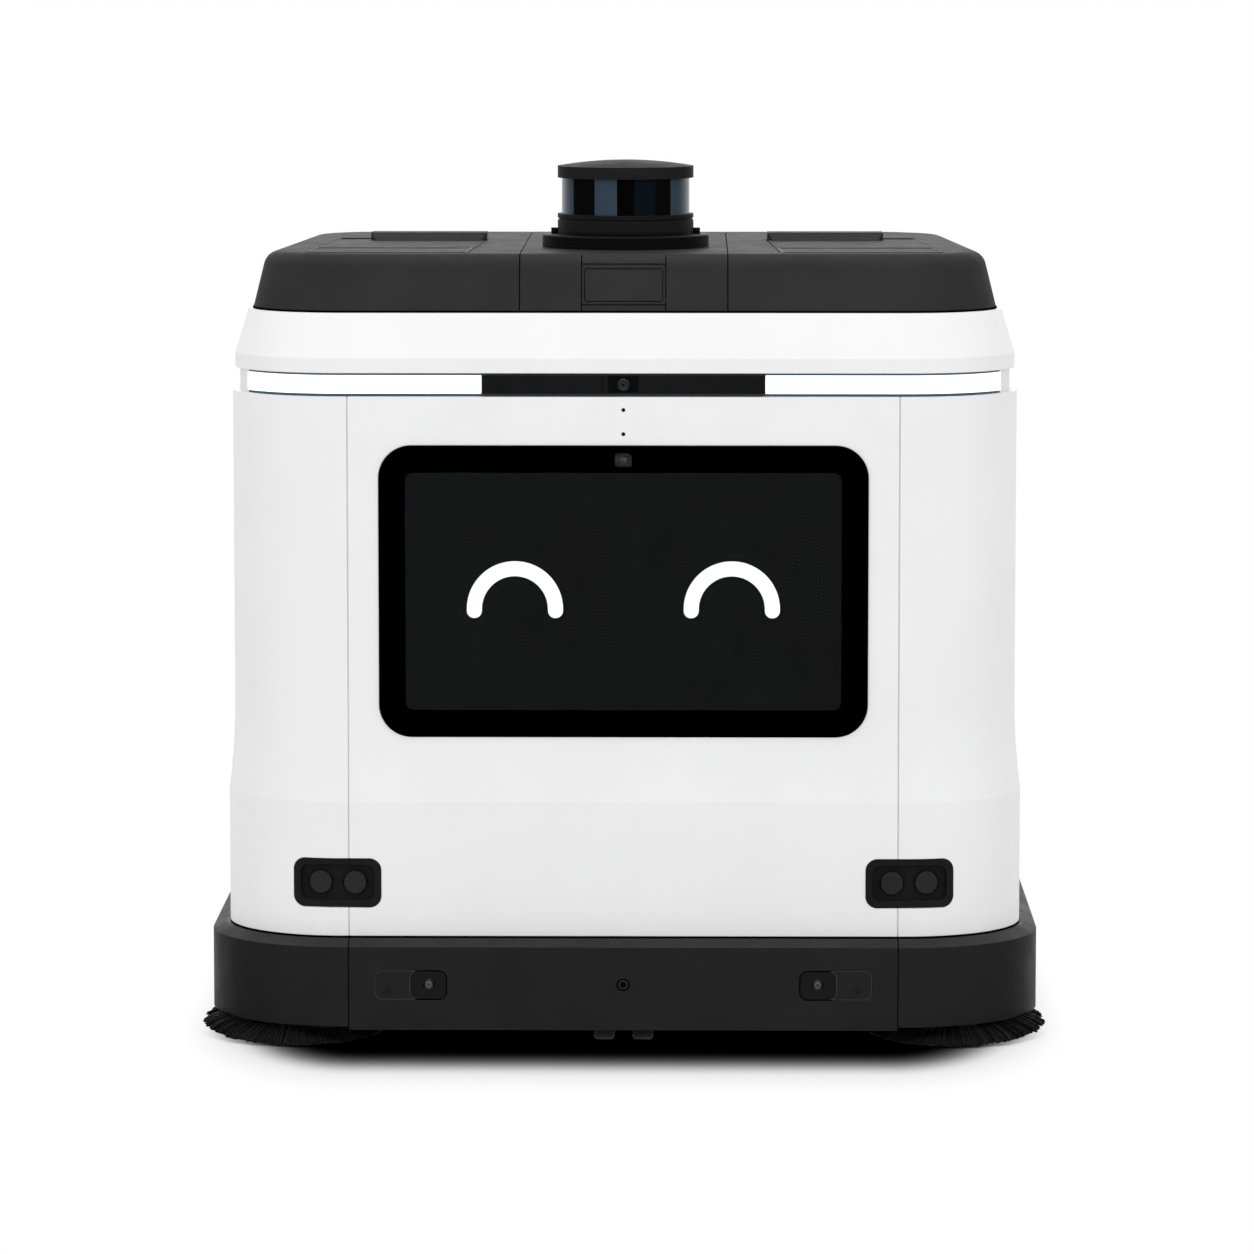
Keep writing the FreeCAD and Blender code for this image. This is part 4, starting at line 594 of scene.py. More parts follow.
BRUSH_TILT = math.radians(6.0)
BRUSH_MIDDLE = (254.0 * MM, -169.186 * MM, 8.744 * MM)
BRUSH_ROOT = 28.5 * MM
BRUSH_REACH = 75.8 * MM
BRUSH_SEEDS = {"left": 31, "right": 32}
BRUSH_TUFTS = 72
TUFT_STRANDS = 34
TUFT_SPREAD = 0.033
BRUSH_DROOP = 2.6
# lowest height of a strand's root and tip, and how much higher the highest is, in millimetres
BRUSH_ROOT_HEIGHT = (5.0, 6.2)
BRUSH_TIP_HEIGHT = (0.4, 1.4)
BRUSH_SWAY = 0.025
# the least share of its full length that a tuft has, and a strand in it
TUFT_LEAST = 0.955
STRAND_LEAST = 0.97
# along a strand: the share of its length, and its half width in millimetres
BRUSH_STRAND = ((0.0, 0.5), (0.35, 0.55), (0.65, 0.55), (0.85, 0.5), (1.0, 0.34))
# the disc behind the strands: radius and height of each ring in millimetres
BRUSH_BACKING = ((28.5, 6.6), (28.5, 7.6), (62.0, 3.6), (69.0, 1.5), (69.0, 1.1))


def side_brush(side_name, side):
    """Tufts of bristles that fan out from the hub and bend down at their ends."""
    rows = random.Random(BRUSH_SEEDS[side_name])
    middle = Vector((side * BRUSH_MIDDLE[0], BRUSH_MIDDLE[1], BRUSH_MIDDLE[2]))
    frame_at = Matrix.Translation(middle) @ Matrix.Rotation(BRUSH_TILT, 4, "X")
    mesh = bmesh.new()
    for tuft in range(BRUSH_TUFTS):
        start_turn = 2.0 * math.pi * tuft / BRUSH_TUFTS
        longest = rows.uniform(TUFT_LEAST, 1.0)
        for _ in range(TUFT_STRANDS):
            level = rows.random()
            turn = start_turn + rows.uniform(-TUFT_SPREAD, TUFT_SPREAD)
            far = BRUSH_REACH * longest * rows.uniform(STRAND_LEAST, 1.0)
            root_z = (BRUSH_ROOT_HEIGHT[0] + BRUSH_ROOT_HEIGHT[1] * level) * MM
            tip_z = (BRUSH_TIP_HEIGHT[0] + BRUSH_TIP_HEIGHT[1] * level) * MM
            sway = rows.uniform(-BRUSH_SWAY, BRUSH_SWAY)
            points = []
            for share, _ in BRUSH_STRAND:
                radius = BRUSH_ROOT + (far - BRUSH_ROOT) * share
                height = root_z + (tip_z - root_z) * share ** BRUSH_DROOP
                angle = turn + sway * share * share
                local = Vector((radius * math.cos(angle), radius * math.sin(angle), height))
                points.append(frame_at @ local)
            strand(mesh, points, [half * MM for _, half in BRUSH_STRAND])
    backing = [turned_ring(frame_at, radius * MM, height * MM, 72) for radius, height in BRUSH_BACKING]
    loft(mesh, backing, joined=True)
    item = new_piece(f"bristle_tufts_{side_name}", mesh, "bristle", f"side_brush_{side_name}")
    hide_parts(f"brush_bristles_{side_name}")


ROLLER_SEED = 33
ROLLER_ROWS = 8
ROLLER_TUFTS = 66
ROLLER_TWIST = 1.1
ROLLER_STRANDS = 10
# how far strands keep from the roller's ends, sink into its core and stay inside the bristle solid
ROLLER_END = 0.5 * MM
ROLLER_SUNK = 0.5 * MM
ROLLER_SHY = 0.2 * MM
ROLLER_WIDTHS = (0.45 * MM, 0.42 * MM, 0.3 * MM)
# how far strands stray round the roller in radians and along it in millimetres, how far they bend,
# and the least share of its full length that a strand has
ROLLER_SPREAD = 0.07
ROLLER_STRAY = 2.0
ROLLER_BEND = 0.05
ROLLER_LEAST = 0.985
# the share of its bend that a strand has halfway
ROLLER_HALFWAY = 0.3


def roller_brush():
    """Rows of tufts that wind round the roller from both ends and meet at its middle."""
    low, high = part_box("roller_bristles")
    middle = (low + high) / 2.0
    reach = (high.z - low.z) / 2.0 - ROLLER_SHY
    inside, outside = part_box("roller_core")
    root = (outside.z - inside.z) / 2.0 - ROLLER_SUNK
    rows = random.Random(ROLLER_SEED)
    mesh = bmesh.new()
    for row in range(ROLLER_ROWS):
        for tuft in range(ROLLER_TUFTS):
            share = (tuft + 0.5) / ROLLER_TUFTS
            x = low.x + (high.x - low.x) * share
            winding = ROLLER_TWIST * abs(2.0 * share - 1.0)
            for _ in range(ROLLER_STRANDS):
                turn = 2.0 * math.pi * row / ROLLER_ROWS + winding
                turn += rows.uniform(-ROLLER_SPREAD, ROLLER_SPREAD)
                along = x + rows.uniform(-ROLLER_STRAY, ROLLER_STRAY) * MM
                along = max(low.x + ROLLER_END, min(high.x - ROLLER_END, along))
                far = reach * rows.uniform(ROLLER_LEAST, 1.0)
                bend = rows.uniform(-ROLLER_BEND, ROLLER_BEND)
                points = []
                halfway = ((root + far) / 2.0, ROLLER_HALFWAY * bend)
                for radius, lean in ((root, 0.0), halfway, (far, bend)):
                    angle = turn + lean
                    y = middle.y + radius * math.cos(angle)
                    points.append(Vector((along, y, middle.z + radius * math.sin(angle))))
                strand(mesh, points, ROLLER_WIDTHS, 3)
    item = new_piece("roller_tufts", mesh, "bristle", "roller")
    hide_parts("roller_bristles")


ARC_APART = 83.4 * MM
ARC_HEIGHT = 337.6 * MM
ARC_RADIUS = 31.2 * MM
ARC_STROKE = 11.6 * MM
ARC_LEG = 1.2 * MM
# how far the back and the front of an arc stand before the screen
ARC_GAPS = (0.05 * MM, 0.2 * MM)
ARC_STEPS = 40
ARC_END_STEPS = 12


def screen_arc(side_name, side):
    """A lit arch with round ends, on the front of the screen and behind its glass."""
    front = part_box("display_panel")[0].y
    middle = Vector((side * ARC_APART, 0.0, ARC_HEIGHT))
    half = ARC_STROKE / 2.0
    outline = []
    steps = range(ARC_STEPS + 1)
    for reach, order in ((ARC_RADIUS + half, steps), (ARC_RADIUS - half, reversed(steps))):
        for step in order:
            turn = math.pi * step / ARC_STEPS
            outline.append(middle + Vector((reach * math.cos(turn), 0.0, reach * math.sin(turn))))
        end = -1.0 if reach > ARC_RADIUS else 1.0
        foot = middle + Vector((end * ARC_RADIUS, 0.0, -ARC_LEG))
        for step in range(ARC_END_STEPS + 1):
            turn = math.pi * (1.0 + step / ARC_END_STEPS)
            outline.append(foot + Vector((half * math.cos(turn), 0.0, half * math.sin(turn))))
    rings = []
    for gap in ARC_GAPS:
        rings.append([point + Vector((0.0, front - gap, 0.0)) for point in outline])
    new_piece(f"screen_arc_{side_name}", lofted(rings), "screen", "base", "screen_lit")


LENS_LOOKS = ("lens_dark", "lens_black", "lens_painted_reflection")
DARK, BLACK, PAINTED_REFLECTION = range(3)
# for each kind of lens: share of its radius, height in millimetres, and the look of the band inside it
LENS_BANDS = {
    "pod": ((1.12, 0.3, DARK), (1.03, 0.3, BLACK), (0.98, 0.42, BLACK), (0.62, 0.72, BLACK),
            (0.3, 0.9, BLACK), (0.0, 0.95, None)),
    "strip": ((1.0, 0.45, BLACK), (0.78, 0.45, DARK), (0.70, 0.1, BLACK), (0.45, 0.4, BLACK),
              (0.22, 0.5, DARK), (0.0, 0.55, None)),
    "camera": ((1.0, 0.3, BLACK), (0.9, 0.35, DARK), (0.62, 0.1, BLACK), (0.42, 0.3, DARK),
               (0.2, 0.45, DARK), (0.0, 0.5, None)),
    # the pill lens's light grey bands are a painted reflection
    "pill": ((1.0, 0.2, DARK), (0.76, 0.2, BLACK), (0.66, 0.35, PAINTED_REFLECTION), (0.36, 0.75, PAINTED_REFLECTION),
             (0.18, 0.9, BLACK), (0.0, 0.95, None)),
}
STRIP_LENS_ABOVE = 300.0 * MM
POD_LENS_ABOVE = 90.0 * MM
CAMERA_LENS_WITHIN = 50.0 * MM
# the share of a lens's front that its rings take
LENS_SHARE = 0.985
# a lens looks the way of its faces that look this far to the front, and this deep is its rim
LENS_FACING = -0.7
LENS_RIM = 0.02 * MM


def lens_kind(place):
    """Which of the four kinds the lens at this place is."""
    x, _, z = place.translation
    if z > STRIP_LENS_ABOVE:
        return "strip"
    if z > POD_LENS_ABOVE:
        return "pod"
    return "camera" if abs(x) < CAMERA_LENS_WITHIN else "pill"


def lens_faces():
    """Rings and domes on the front of every lens."""
    mesh = bmesh.new()
    for points, faces in solids_of("sensor_lenses"):
        out = Vector()
        for normal, area in faces:
            if normal.y < LENS_FACING:
                out += normal * area
        out.normalize()
        front = max(point.dot(out) for point in points)
        rim = [point for point in points if point.dot(out) > front - LENS_RIM]
        spans = [(min(values), max(values)) for values in zip(*rim)]
        middle = Vector([(least + most) / 2.0 for least, most in spans])
        radius = max((point - middle).length for point in rim) * LENS_SHARE
        place = stand_at(middle, out)
        bands = LENS_BANDS[lens_kind(place)]
        rings = [turned_ring(place, radius, -BITE)]
        rings += [turned_ring(place, radius * share, height * MM) for share, height, _ in bands]
        looks = [bands[0][2]] + [look for _, _, look in bands[:-1]]
        loft(mesh, rings, looks, True)
    new_piece("lens_faces", mesh, "lens_black", "base", *LENS_LOOKS)


def rounded_outline(half, corner, middle=(0.0, 0.0), steps=8):
    """The points of a rounded rectangle, as pairs of numbers."""
    points = []
    for quarter, (across, up) in enumerate(((1.0, 1.0), (-1.0, 1.0), (-1.0, -1.0), (1.0, -1.0))):
        for step in range(steps + 1):
            turn = math.pi / 2.0 * (quarter + step / steps)
            points.append((middle[0] + across * (half[0] - corner) + corner * math.cos(turn),
                           middle[1] + up * (half[1] - corner) + corner * math.sin(turn)))
    return points


PILL_RIM_INSET = 0.1 * MM
PILL_RIM_WIDE = 0.6 * MM
PILL_RIM_HIGH = 0.25 * MM


def pill_rims():
    """A thin raised rim round each skirt window and round the square that holds its lens, in a lighter grey
    that is a painted highlight.
    """
    low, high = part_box("skirt_windows")
    mesh = bmesh.new()
    for _, side in SIDES:
        for long in (PILL_LONG, PILL_SQUARE):
            middle = (side * (high.x - PILL_LONG + long / 2.0), (low.z + high.z) / 2.0)

            def edge(inset, lift):
                inset += PILL_RIM_INSET
                half = (long / 2.0 - inset, (high.z - low.z) / 2.0 - inset)
                outline = rounded_outline(half, PILL_CORNER - inset, middle)
                return [Vector((x, low.y - lift, z)) for x, z in outline]

            bead(mesh, edge, PILL_RIM_WIDE, 0.0, PILL_RIM_HIGH)
    new_piece("pill_rims", mesh, "lens_black", "base", "painted_highlight_grey")


BODY_CORNER = 93.5 * MM
SEAL_HIGH = 1.3 * MM
SEAL_PROUD = 0.35 * MM
SEAL_DEEP = 0.5 * MM


def seal_edges(high):
    """How far out and how high each edge of a seal is."""
    return ((-SEAL_DEEP, 0.0), (SEAL_PROUD, 0.0), (SEAL_PROUD, high), (-SEAL_DEEP, high))


def body_seal():
    """The seal that the body stands on, all round the skirt's shelf; its near-black is painted shade for the
    shadow gap there.
    """
    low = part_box("front_panel")[0]
    reach = (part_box("side_panel_right")[1].x, -low.y)
    rings = []
    for offset, lift in seal_edges(SEAL_HIGH):
        outline = rounded_outline((reach[0] + offset, reach[1] + offset), BODY_CORNER + offset)
        rings.append([Vector((x, y, low.z + lift)) for x, y in outline])
    new_piece("body_seal", lofted(rings, True), "rubber", "base", "painted_shade_black")


COVER_SEAL_HIGH = 1.6 * MM
COVER_SEAL_RAYS = 360
# how far above the cover's foot its outline is taken
COVER_SEAL_LEVEL = 0.2 * MM


def cover_seal():
    """The seal under the edge of the top cover, all round the shoulder's deck; its near-black is painted
    shade for the shadow line there.
    """
    tree = search_tree("top_cover_left", "top_cover_centre", "top_cover_right")
    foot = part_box("top_cover_centre")[0].z
    spokes = []
    for step in range(COVER_SEAL_RAYS):
        turn = 2.0 * math.pi * step / COVER_SEAL_RAYS
        out = Vector((math.cos(turn), math.sin(turn), 0.0))
        place = tree.ray_cast(out + Vector((0.0, 0.0, foot + COVER_SEAL_LEVEL)), -out)[0]
        spokes.append((out, place.dot(out)))
    rings = [[], [], [], []]
    for step, (out, reach) in enumerate(spokes):
        # a line through the gap between two covers ends too far in
        beside = min(spokes[step - 1][1], spokes[(step + 1) % COVER_SEAL_RAYS][1])
        reach = max(reach, beside)
        for ring, (offset, lift) in zip(rings, seal_edges(COVER_SEAL_HIGH)):
            ring.append(out * (reach + offset) + Vector((0.0, 0.0, foot + lift)))
    new_piece("cover_seal", lofted(rings, True), "rubber", "base", "painted_shade_black")


# half the width of the flap's plate, which its pins stand out of
FLAP_HALF = 32.0 * MM
FLAP_GAP = 0.8 * MM
FLAP_RIM_INSET = (1.7 * MM, 2.8 * MM)
FLAP_RIM_CORNER = 2.5 * MM
FLAP_RIM_WIDE = 0.5 * MM
FLAP_RIM_HIGH = 0.25 * MM
FLAP_LINE_DEEP = 0.4 * MM
FLAP_LINE_PROUD = 0.12 * MM
FLAP_LINE_STEPS = 16
# where the upper lines start above the flap and end below the roof
FLAP_LINE_ABOVE = 0.4 * MM
FLAP_LINE_BELOW = 0.8 * MM
# how far beside a gap the face next to it is looked for
BESIDE = 1.0 * MM


def flap_rim():
    """A thin raised frame on the service flap, near-black as painted shade for the dark line round it."""
    tree = search_tree("service_flap")
    low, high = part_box("service_flap")
    middle = (0.0, (low.z + high.z) / 2.0)
    half = (FLAP_HALF - FLAP_RIM_INSET[0], (high.z - low.z) / 2.0 - FLAP_RIM_INSET[1])

    def edge(inset, lift):
        outline = rounded_outline((half[0] - inset, half[1] - inset), FLAP_RIM_CORNER - inset, middle)
        return [meet(tree, x, z)[0] - Vector((0.0, lift, 0.0)) for x, z in outline]

    mesh = bmesh.new()
    bead(mesh, edge, FLAP_RIM_WIDE, -BITE, FLAP_RIM_HIGH)
    new_piece("flap_rim", mesh, "cover_black", "flap", "painted_shade_black")


def flap_lines():
    """Fine near-black lines on the centre cover, painted shade for panel lines, that carry on the flap's
    sides, up to the roof and down.
    """
    tree = search_tree("top_cover_centre")
    low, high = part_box("service_flap")
    foot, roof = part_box("top_cover_centre")
    runs = ((foot.z + COVER_SEAL_HIGH, low.z), (high.z + FLAP_LINE_ABOVE, roof.z - FLAP_LINE_BELOW))
    mesh = bmesh.new()
    for _, side in SIDES:
        left = side * (FLAP_HALF + FLAP_GAP / 2.0) - FLAP_GAP / 2.0
        beside = side * (FLAP_HALF + FLAP_GAP + BESIDE)
        for run in runs:
            upright_bar(mesh, tree, left, left + FLAP_GAP, beside, run, FLAP_LINE_STEPS, -1.0,
                        -FLAP_LINE_PROUD, FLAP_LINE_DEEP)
    new_piece("flap_lines", mesh, "cover_black", "base", "painted_shade_black")


SEAM_WIDE = 0.7 * MM
# for the slot of the panels beside a seam: how deep its filler lies, and its look; the skirt's near-black
# filler is painted shade in its gaps
SEAM_LOOKS = {"white_shell": (0.5 * MM, "white_shell"), "skirt_black": (0.9 * MM, "painted_shade_black")}
SEAM_DEEP = 1.4 * MM
SEAM_STEP = 5.0 * MM
SEAM_FOOT = 2.0 * MM
SEAM_END = 0.5 * MM
BESIDE_REAR = 1.5 * MM


def seam_filler(name, panel, beside, x, runs, facing):
    """A tongue in the gap between two shell pieces, just below their outer faces."""
    tree = search_tree(panel)
    slot = nodes[panel].material_slots[0].material.name
    sunk, look = SEAM_LOOKS[slot]
    mesh = bmesh.new()
    for run in runs:
        count = max(2, round((run[1] - run[0]) / SEAM_STEP))
        upright_bar(mesh, tree, x - SEAM_WIDE / 2.0, x + SEAM_WIDE / 2.0, beside, run, count, facing,
                    sunk, sunk + SEAM_DEEP)
    new_piece(name, mesh, slot, "base", look)


COVER_SEAM_SUNK = 1.0 * MM
COVER_SEAM_STEPS = 96
# height above the cover's foot of the point that the seam is found round
COVER_SEAM_LEVEL = 2.0 * MM


def cover_seam(side_name, side):
    """A near-black tongue in the gap between the centre cover and the cover beside it: painted shade in the
    gap.
    """
    tree = search_tree("top_cover_centre")
    low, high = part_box("top_cover_centre")
    seam = side * (high.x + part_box("top_cover_right")[0].x) / 2.0
    middle = Vector((side * (high.x - BESIDE), (low.y + high.y) / 2.0, low.z + COVER_SEAM_LEVEL))
    rings = []
    for step in range(COVER_SEAM_STEPS + 1):
        turn = math.pi * step / COVER_SEAM_STEPS
        out = Vector((0.0, math.cos(turn), math.sin(turn)))
        place = tree.ray_cast(middle + out, -out)[0]
        ring = []
        for across, sunk in ((-0.5, 0.0), (0.5, 0.0), (0.5, SEAM_DEEP), (-0.5, SEAM_DEEP)):
            point = place - out * (COVER_SEAM_SUNK + sunk)
            ring.append(Vector((seam + across * SEAM_WIDE, point.y, point.z)))
        rings.append(ring)
    new_piece(f"seam_cover_{side_name}", lofted(rings), "cover_black", "base", "painted_shade_black")


# corners of a lid's front field, outwards from the middle and to the back, in millimetres
LID_FIELD = ((121.0, -170.0), (237.5, -170.0), (247.0, -160.5), (242.2, -96.0), (118.2, -96.0))
EDGING_INSET = 1.2 * MM
EDGING_WIDE = 0.9 * MM
EDGING_HIGH = 0.5 * MM


def inset_outline(corners, inset):
    """A convex outline moved inwards by this much."""
    moved = []
    count = len(corners)
    for index, corner in enumerate(corners):
        before = (corner - corners[index - 1]).normalized()
        after = (corners[(index + 1) % count] - corner).normalized()
        across = Vector((-before.y, before.x)) + Vector((-after.y, after.x))
        moved.append(corner + across * (inset / (1.0 + before.dot(after))))
    return moved


def lid_edging(side_name, side):
    """A thin raised bead round the front field of a lid, in a lighter grey that is a painted highlight."""
    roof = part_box("top_cover_centre")[1].z
    corners = [Vector(corner) * MM for corner in LID_FIELD]

    def edge(inset, height):
        outline = inset_outline(corners, EDGING_INSET + inset)
        return [Vector((side * point.x, point.y, roof + height)) for point in outline]

    mesh = bmesh.new()
    bead(mesh, edge, EDGING_WIDE, 0.0, EDGING_HIGH)
    new_piece(f"lid_edging_{side_name}", mesh, "cover_black", f"tank_lid_{side_name}", "painted_highlight_grey")


# the front face of a lid's grip: from where to where outwards, and its place to the back
GRIP_SPAN = (113.3 * MM, 205.7 * MM)
GRIP_FRONT = 34.0 * MM
GRIP_SLOPE = 9.0 * MM
GRIP_SLANT = 4.0 * MM


def grip_slope(side_name, side):
    """A slope that runs up to the grip at the back of a lid."""
    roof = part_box("top_cover_centre")[1].z
    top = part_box(f"lid_{side_name}")[1].z - BITE
    foot = roof - BITE
    behind = GRIP_FRONT + 2.0 * BITE
    rings = []
    for place, slant in zip(GRIP_SPAN, (GRIP_SLANT, -GRIP_SLANT)):
        rings.append([Vector((side * place, behind, foot)), Vector((side * place, behind, top)),
                      Vector((side * (place + slant), GRIP_FRONT - GRIP_SLOPE, foot))])
    new_piece(f"grip_slope_{side_name}", lofted(rings), "cover_black", f"tank_lid_{side_name}")


SCREW_RADIUS = 3.4 * MM
# share of the radius that a ring has, its height in millimetres, and its corners, none if it is round
SCREW_RINGS = (
    (1.12, -0.3, 0), (1.12, 0.1, 0), (1.0, 0.12, 0), (0.97, 0.5, 0),
    (0.82, 0.7, 0), (0.5, 0.7, 6), (0.5, -0.3, 6), (0.0, -0.5, 0),
)
REAR_SCREW_INSET = 14.0 * MM
REAR_SCREW_FOOT = 20.0 * MM
# share of the panel's height at which the middle screws are
REAR_SCREW_SHARE = 0.62


def rear_screws():
    """Socket screws at the edges of the rear panel."""
    low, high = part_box("rear_panel")
    across = high.x - REAR_SCREW_INSET
    heights = (low.z + REAR_SCREW_FOOT, low.z + REAR_SCREW_SHARE * (high.z - low.z),
               high.z - REAR_SCREW_INSET)
    tree = search_tree("rear_panel")
    mesh = bmesh.new()
    for _, side in SIDES:
        for z in heights:
            stand = stand_at(*meet(tree, side * across, z, 1.0))
            rings = []
            for share, height, corners in SCREW_RINGS:
                rings.append(turned_ring(stand, SCREW_RADIUS * share, height * MM, corners=corners))
            loft(mesh, rings)
    new_piece("rear_screws", mesh, "steel", "base", "screw_black")


COLLAR_GAP = 0.6 * MM
COLLAR_STEPS = 64
# for each ring of a collar: how far from its bore, and its height, in millimetres
COLLAR_RINGS = ((0.0, 0.0), (0.0, 0.84), (0.6, 1.2), (3.5, 1.2), (4.5, 0.0))


def button_collars():
    """Collars on the rear panel, round its two buttons."""
    tree = search_tree("rear_panel")
    mesh = bmesh.new()
    for button in ("emergency_stop", "power_button"):
        first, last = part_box(button)
        middle = (first + last) / 2.0
        bore = (last.x - first.x) / 2.0 + COLLAR_GAP
        face = meet(tree, middle.x + bore + BESIDE, middle.z, 1.0)[0].y
        place = Matrix.Translation((middle.x, face, middle.z)) @ Matrix.Rotation(-math.pi / 2.0, 4, "X")
        rings = []
        for away, height in COLLAR_RINGS:
            rings.append(turned_ring(place, bore + away * MM, height * MM, COLLAR_STEPS))
        loft(mesh, rings, joined=True)
    new_piece("button_collars", mesh, "button_grey", "base")


def seam_fillers():
    """The gaps beside the front and rear panels and between the skirt pieces."""
    pod_low, pod_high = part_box("sensor_pod_left")
    low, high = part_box("front_panel")
    bottom, top = low.z + SEAM_FOOT, high.z - SEAM_END
    skirt_run = [(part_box("skirt_left")[0].z + SEAM_END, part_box("skirt_front")[1].z - SEAM_END)]
    seam = (high.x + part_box("side_panel_right")[0].x) / 2.0
    for side_name, side in SIDES:
        beside = side * (high.x - BESIDE)
        runs = [(bottom, pod_low.z - SEAM_END), (pod_high.z + SEAM_END, top)]
        seam_filler(f"seam_front_{side_name}", "front_panel", beside, side * seam, runs, -1.0)
        seam_filler(f"seam_rear_{side_name}", "rear_panel", beside, side * seam, [(bottom, top)], 1.0)
        seam_filler(f"seam_skirt_{side_name}", "skirt_front", beside, side * seam, skirt_run, -1.0)
    seam_filler("seam_skirt_rear", "skirt_right", BESIDE_REAR, 0.0, skirt_run, 1.0)


for side_name, side in SIDES:
    side_brush(side_name, side)
    screen_arc(side_name, side)
    cover_seam(side_name, side)
    lid_edging(side_name, side)
    grip_slope(side_name, side)
roller_brush()
lens_faces()
pill_rims()
body_seal()
cover_seal()
flap_rim()
flap_lines()
seam_fillers()
rear_screws()
button_collars()


# Studio: a pale floor with a painted shadow, that fades to white, soft lamps, and a dark card all round

def studio_world():
    """Even white light from all sides."""
    scene.world = bpy.data.worlds.new("studio_world")
    inputs = Graph(scene.world).tree.nodes["Background"].inputs
    inputs["Color"].default_value = grey(1.0)
    inputs["Strength"].default_value = 1.0


FLOOR_REACH = 3.0
FLOOR_TONE = 0.72
# the painted shadow under the part: half its size, its corners, how much quicker it fades to the sides and
# to the back than to the front, and how far back it reaches
SHADE_HALF = (0.252, 0.245)
SHADE_CORNER = 0.1
SHADE_SQUEEZE = 2.0
SHADE_REAR = 0.19
# distances from the patch over which its painted shadow ends and the floor turns white
CONTACT_SHADE = (0.0, 0.118)
CONTACT_DEPTH = 2.4
FLOOR_FADE = (0.06, 0.20)


def studio_floor():
    """A round floor with the part's shade and a painted shadow round the part on it, white further out and
    clear from below.
    """
    mesh = bmesh.new()
    bmesh.ops.create_circle(mesh, cap_ends=True, segments=96, radius=FLOOR_REACH)
    floor = mesh_object("studio_floor", mesh)
    graph = new_material("studio_floor")
    path = graph.add("LightPath")
    seen = graph.math("MAXIMUM", path.outputs["Is Camera Ray"], path.outputs["Is Transmission Ray"])
    across = graph.math("MULTIPLY", graph.axis("X"), SHADE_SQUEEZE)
    ahead = graph.math("MULTIPLY", graph.axis("Y"), -1.0)
    past_rear = graph.math("SUBTRACT", graph.axis("Y"), SHADE_REAR)
    past_rear = graph.math("MULTIPLY", past_rear, SHADE_SQUEEZE)
    along = graph.math("MAXIMUM", ahead, graph.math("ADD", past_rear, SHADE_HALF[1]))
    half = (SHADE_HALF[0] * SHADE_SQUEEZE, SHADE_HALF[1])
    away = graph.off_box(across, along, (0.0, 0.0), half, SHADE_CORNER)
    # the painted shadow: darkest at the patch and gone at the end of its fade
    contact = graph.math("POWER", graph.ramp(away, *CONTACT_SHADE), CONTACT_DEPTH)
    shaded = graph.math("MULTIPLY", graph.math("SUBTRACT", 1.0, contact), seen)
    graph.surface(Base_Color=graph.mix(shaded, grey(FLOOR_TONE), grey(0.0)))
    graph.surface(Roughness=0.9, Specular_IOR_Level=0.0)
    fade = graph.math("MULTIPLY", graph.ramp(away, *FLOOR_FADE), seen)
    white = graph.add("Emission", {"Color": grey(1.0), "Strength": 1.0})
    blend = graph.add("MixShader", {0: fade, 1: graph.shader.outputs[0], 2: white.outputs[0]})
    from_below = graph.add("NewGeometry").outputs["Backfacing"]
    clear = graph.add("BsdfTransparent")
    whole = graph.add("MixShader", {0: from_below, 1: blend.outputs[0], 2: clear.outputs[0]})
    output = graph.tree.nodes["Material Output"]
    graph.tree.links.new(whole.outputs[0], output.inputs["Surface"])
    floor.data.materials.append(graph.owner)
    floor.visible_glossy = False


CARD_RADIUS = 8.0
CARD_SPAN = (-7.0, 3.0)
# brightness of the card at the front and at the back, and where it changes along Y
CARD_LEVELS = (0.02, 0.85)
CARD_FADE = (2.0, 7.0)


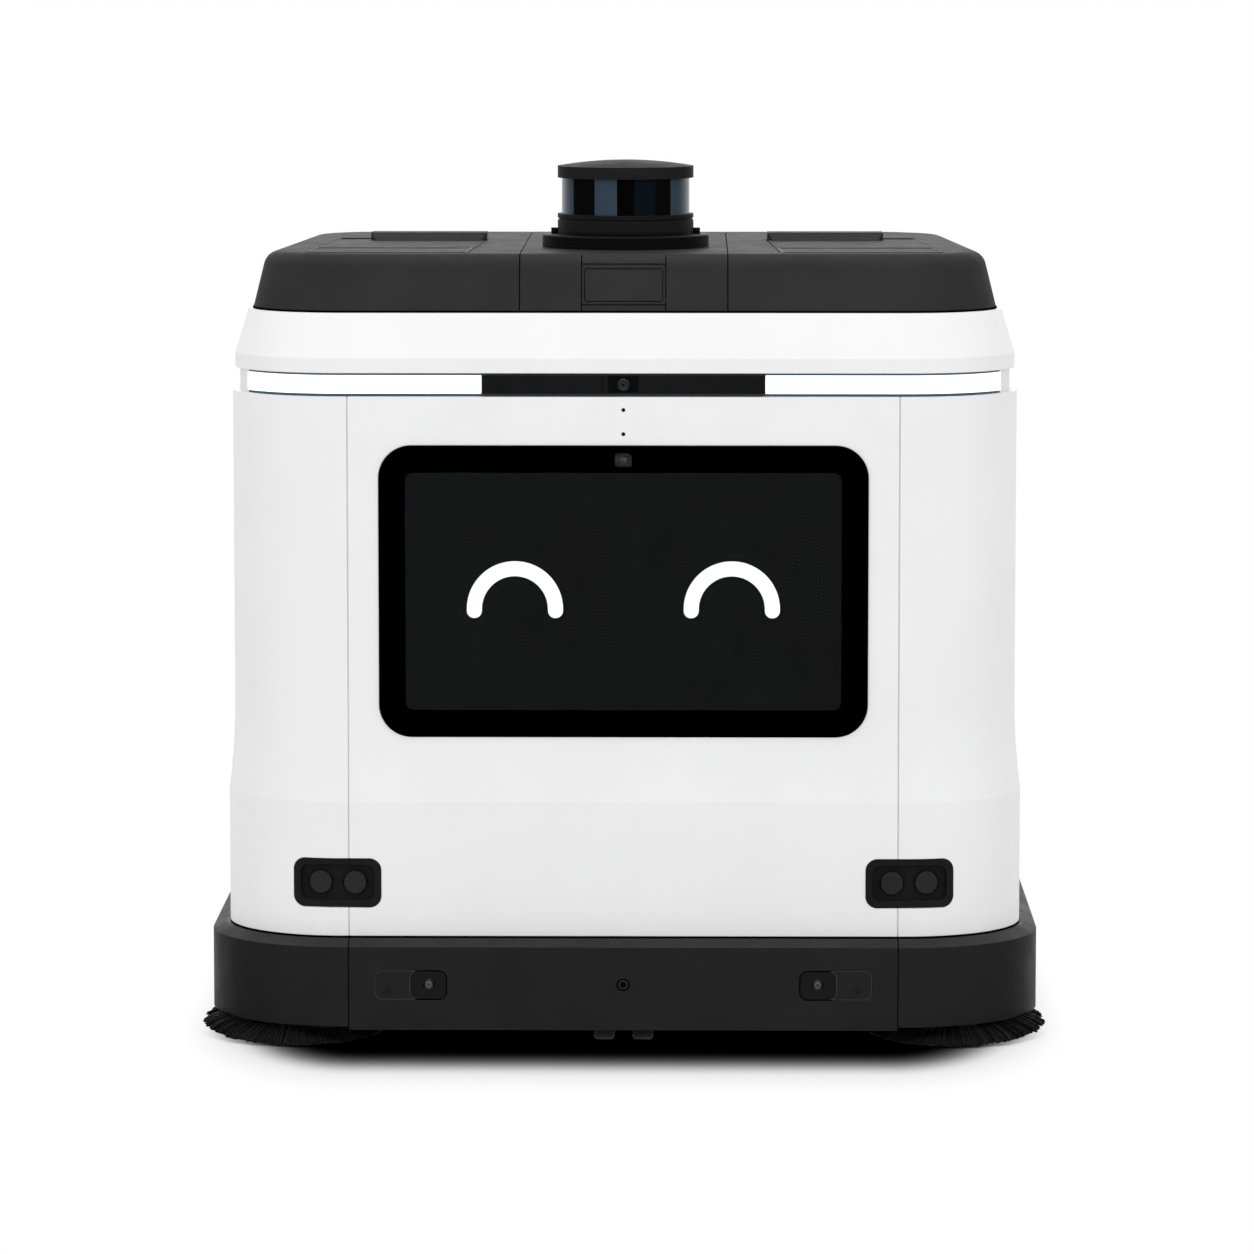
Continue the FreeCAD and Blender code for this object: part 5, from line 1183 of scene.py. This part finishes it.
def dark_card():
    """A card all round that only reflections see, so that black faces stay black."""
    mesh = lofted([turned_ring(Matrix.Identity(4), CARD_RADIUS, height, 48) for height in CARD_SPAN])
    ends = [face for face in mesh.faces if len(face.verts) > 4]
    bmesh.ops.delete(mesh, geom=ends, context="FACES_ONLY")
    card = mesh_object("dark_card", mesh)
    graph = new_material("dark_card")
    level = graph.ramp(graph.axis("Y"), *CARD_FADE, *CARD_LEVELS)
    glow = graph.add("Emission", {"Color": grey(1.0), "Strength": level})
    graph.tree.links.new(glow.outputs[0], graph.tree.nodes["Material Output"].inputs["Surface"])
    graph.owner.cycles.emission_sampling = "NONE"
    card.data.materials.append(graph.owner)
    card.visible_camera = False
    card.visible_diffuse = False
    card.visible_transmission = False
    card.visible_shadow = False


# for each lamp: its name, place, aim, size and power
LAMPS = (
    ("top_lamp", (0.0, -0.3, 3.0), (0.0, -0.1, 0.0), (2.4, 2.2), 24.0),
    ("left_lamp", (-2.3, -3.4, 0.75), (0.0, -0.1, 0.3), (1.8, 1.4), 14.0),
    ("right_lamp", (2.3, -3.4, 0.75), (0.0, -0.1, 0.3), (1.8, 1.4), 14.0),
    ("back_lamp", (0.0, 3.8, 1.2), (0.0, 0.1, 0.3), (2.4, 1.4), 18.0),
)
# lamps further to the front than this don't show in reflections
LAMP_SHOWN_FROM = -1.0


def aimed_object(name, data, place, aim):
    """A lamp or camera at this place, turned to its aim."""
    item = bpy.data.objects.new(name, data)
    item.location = place
    item.rotation_euler = (Vector(aim) - Vector(place)).to_track_quat("-Z", "Y").to_euler()
    scene.collection.objects.link(item)
    return item


def soft_lamp(name, place, aim, size, power):
    """A flat lamp."""
    data = bpy.data.lights.new(name, "AREA")
    data.shape = "RECTANGLE"
    data.size, data.size_y = size
    data.energy = power
    lamp = aimed_object(name, data, place, aim)
    lamp.visible_glossy = place[1] > LAMP_SHOWN_FROM


CAMERA_LENS = 174.55
CAMERA_SENSOR = 36.0
CAMERA_PLACE = (0.055, -4.865, 0.845)
CAMERA_AIM = (0.003, -0.235, 0.3258)


def studio_camera():
    """The camera at the photograph's viewing angle."""
    data = bpy.data.cameras.new("camera")
    data.lens = CAMERA_LENS
    data.sensor_width = CAMERA_SENSOR
    scene.camera = aimed_object("camera", data, CAMERA_PLACE, CAMERA_AIM)


studio_world()
studio_floor()
dark_card()
for lamp in LAMPS:
    soft_lamp(*lamp)
studio_camera()
scene.view_settings.view_transform = "Standard"
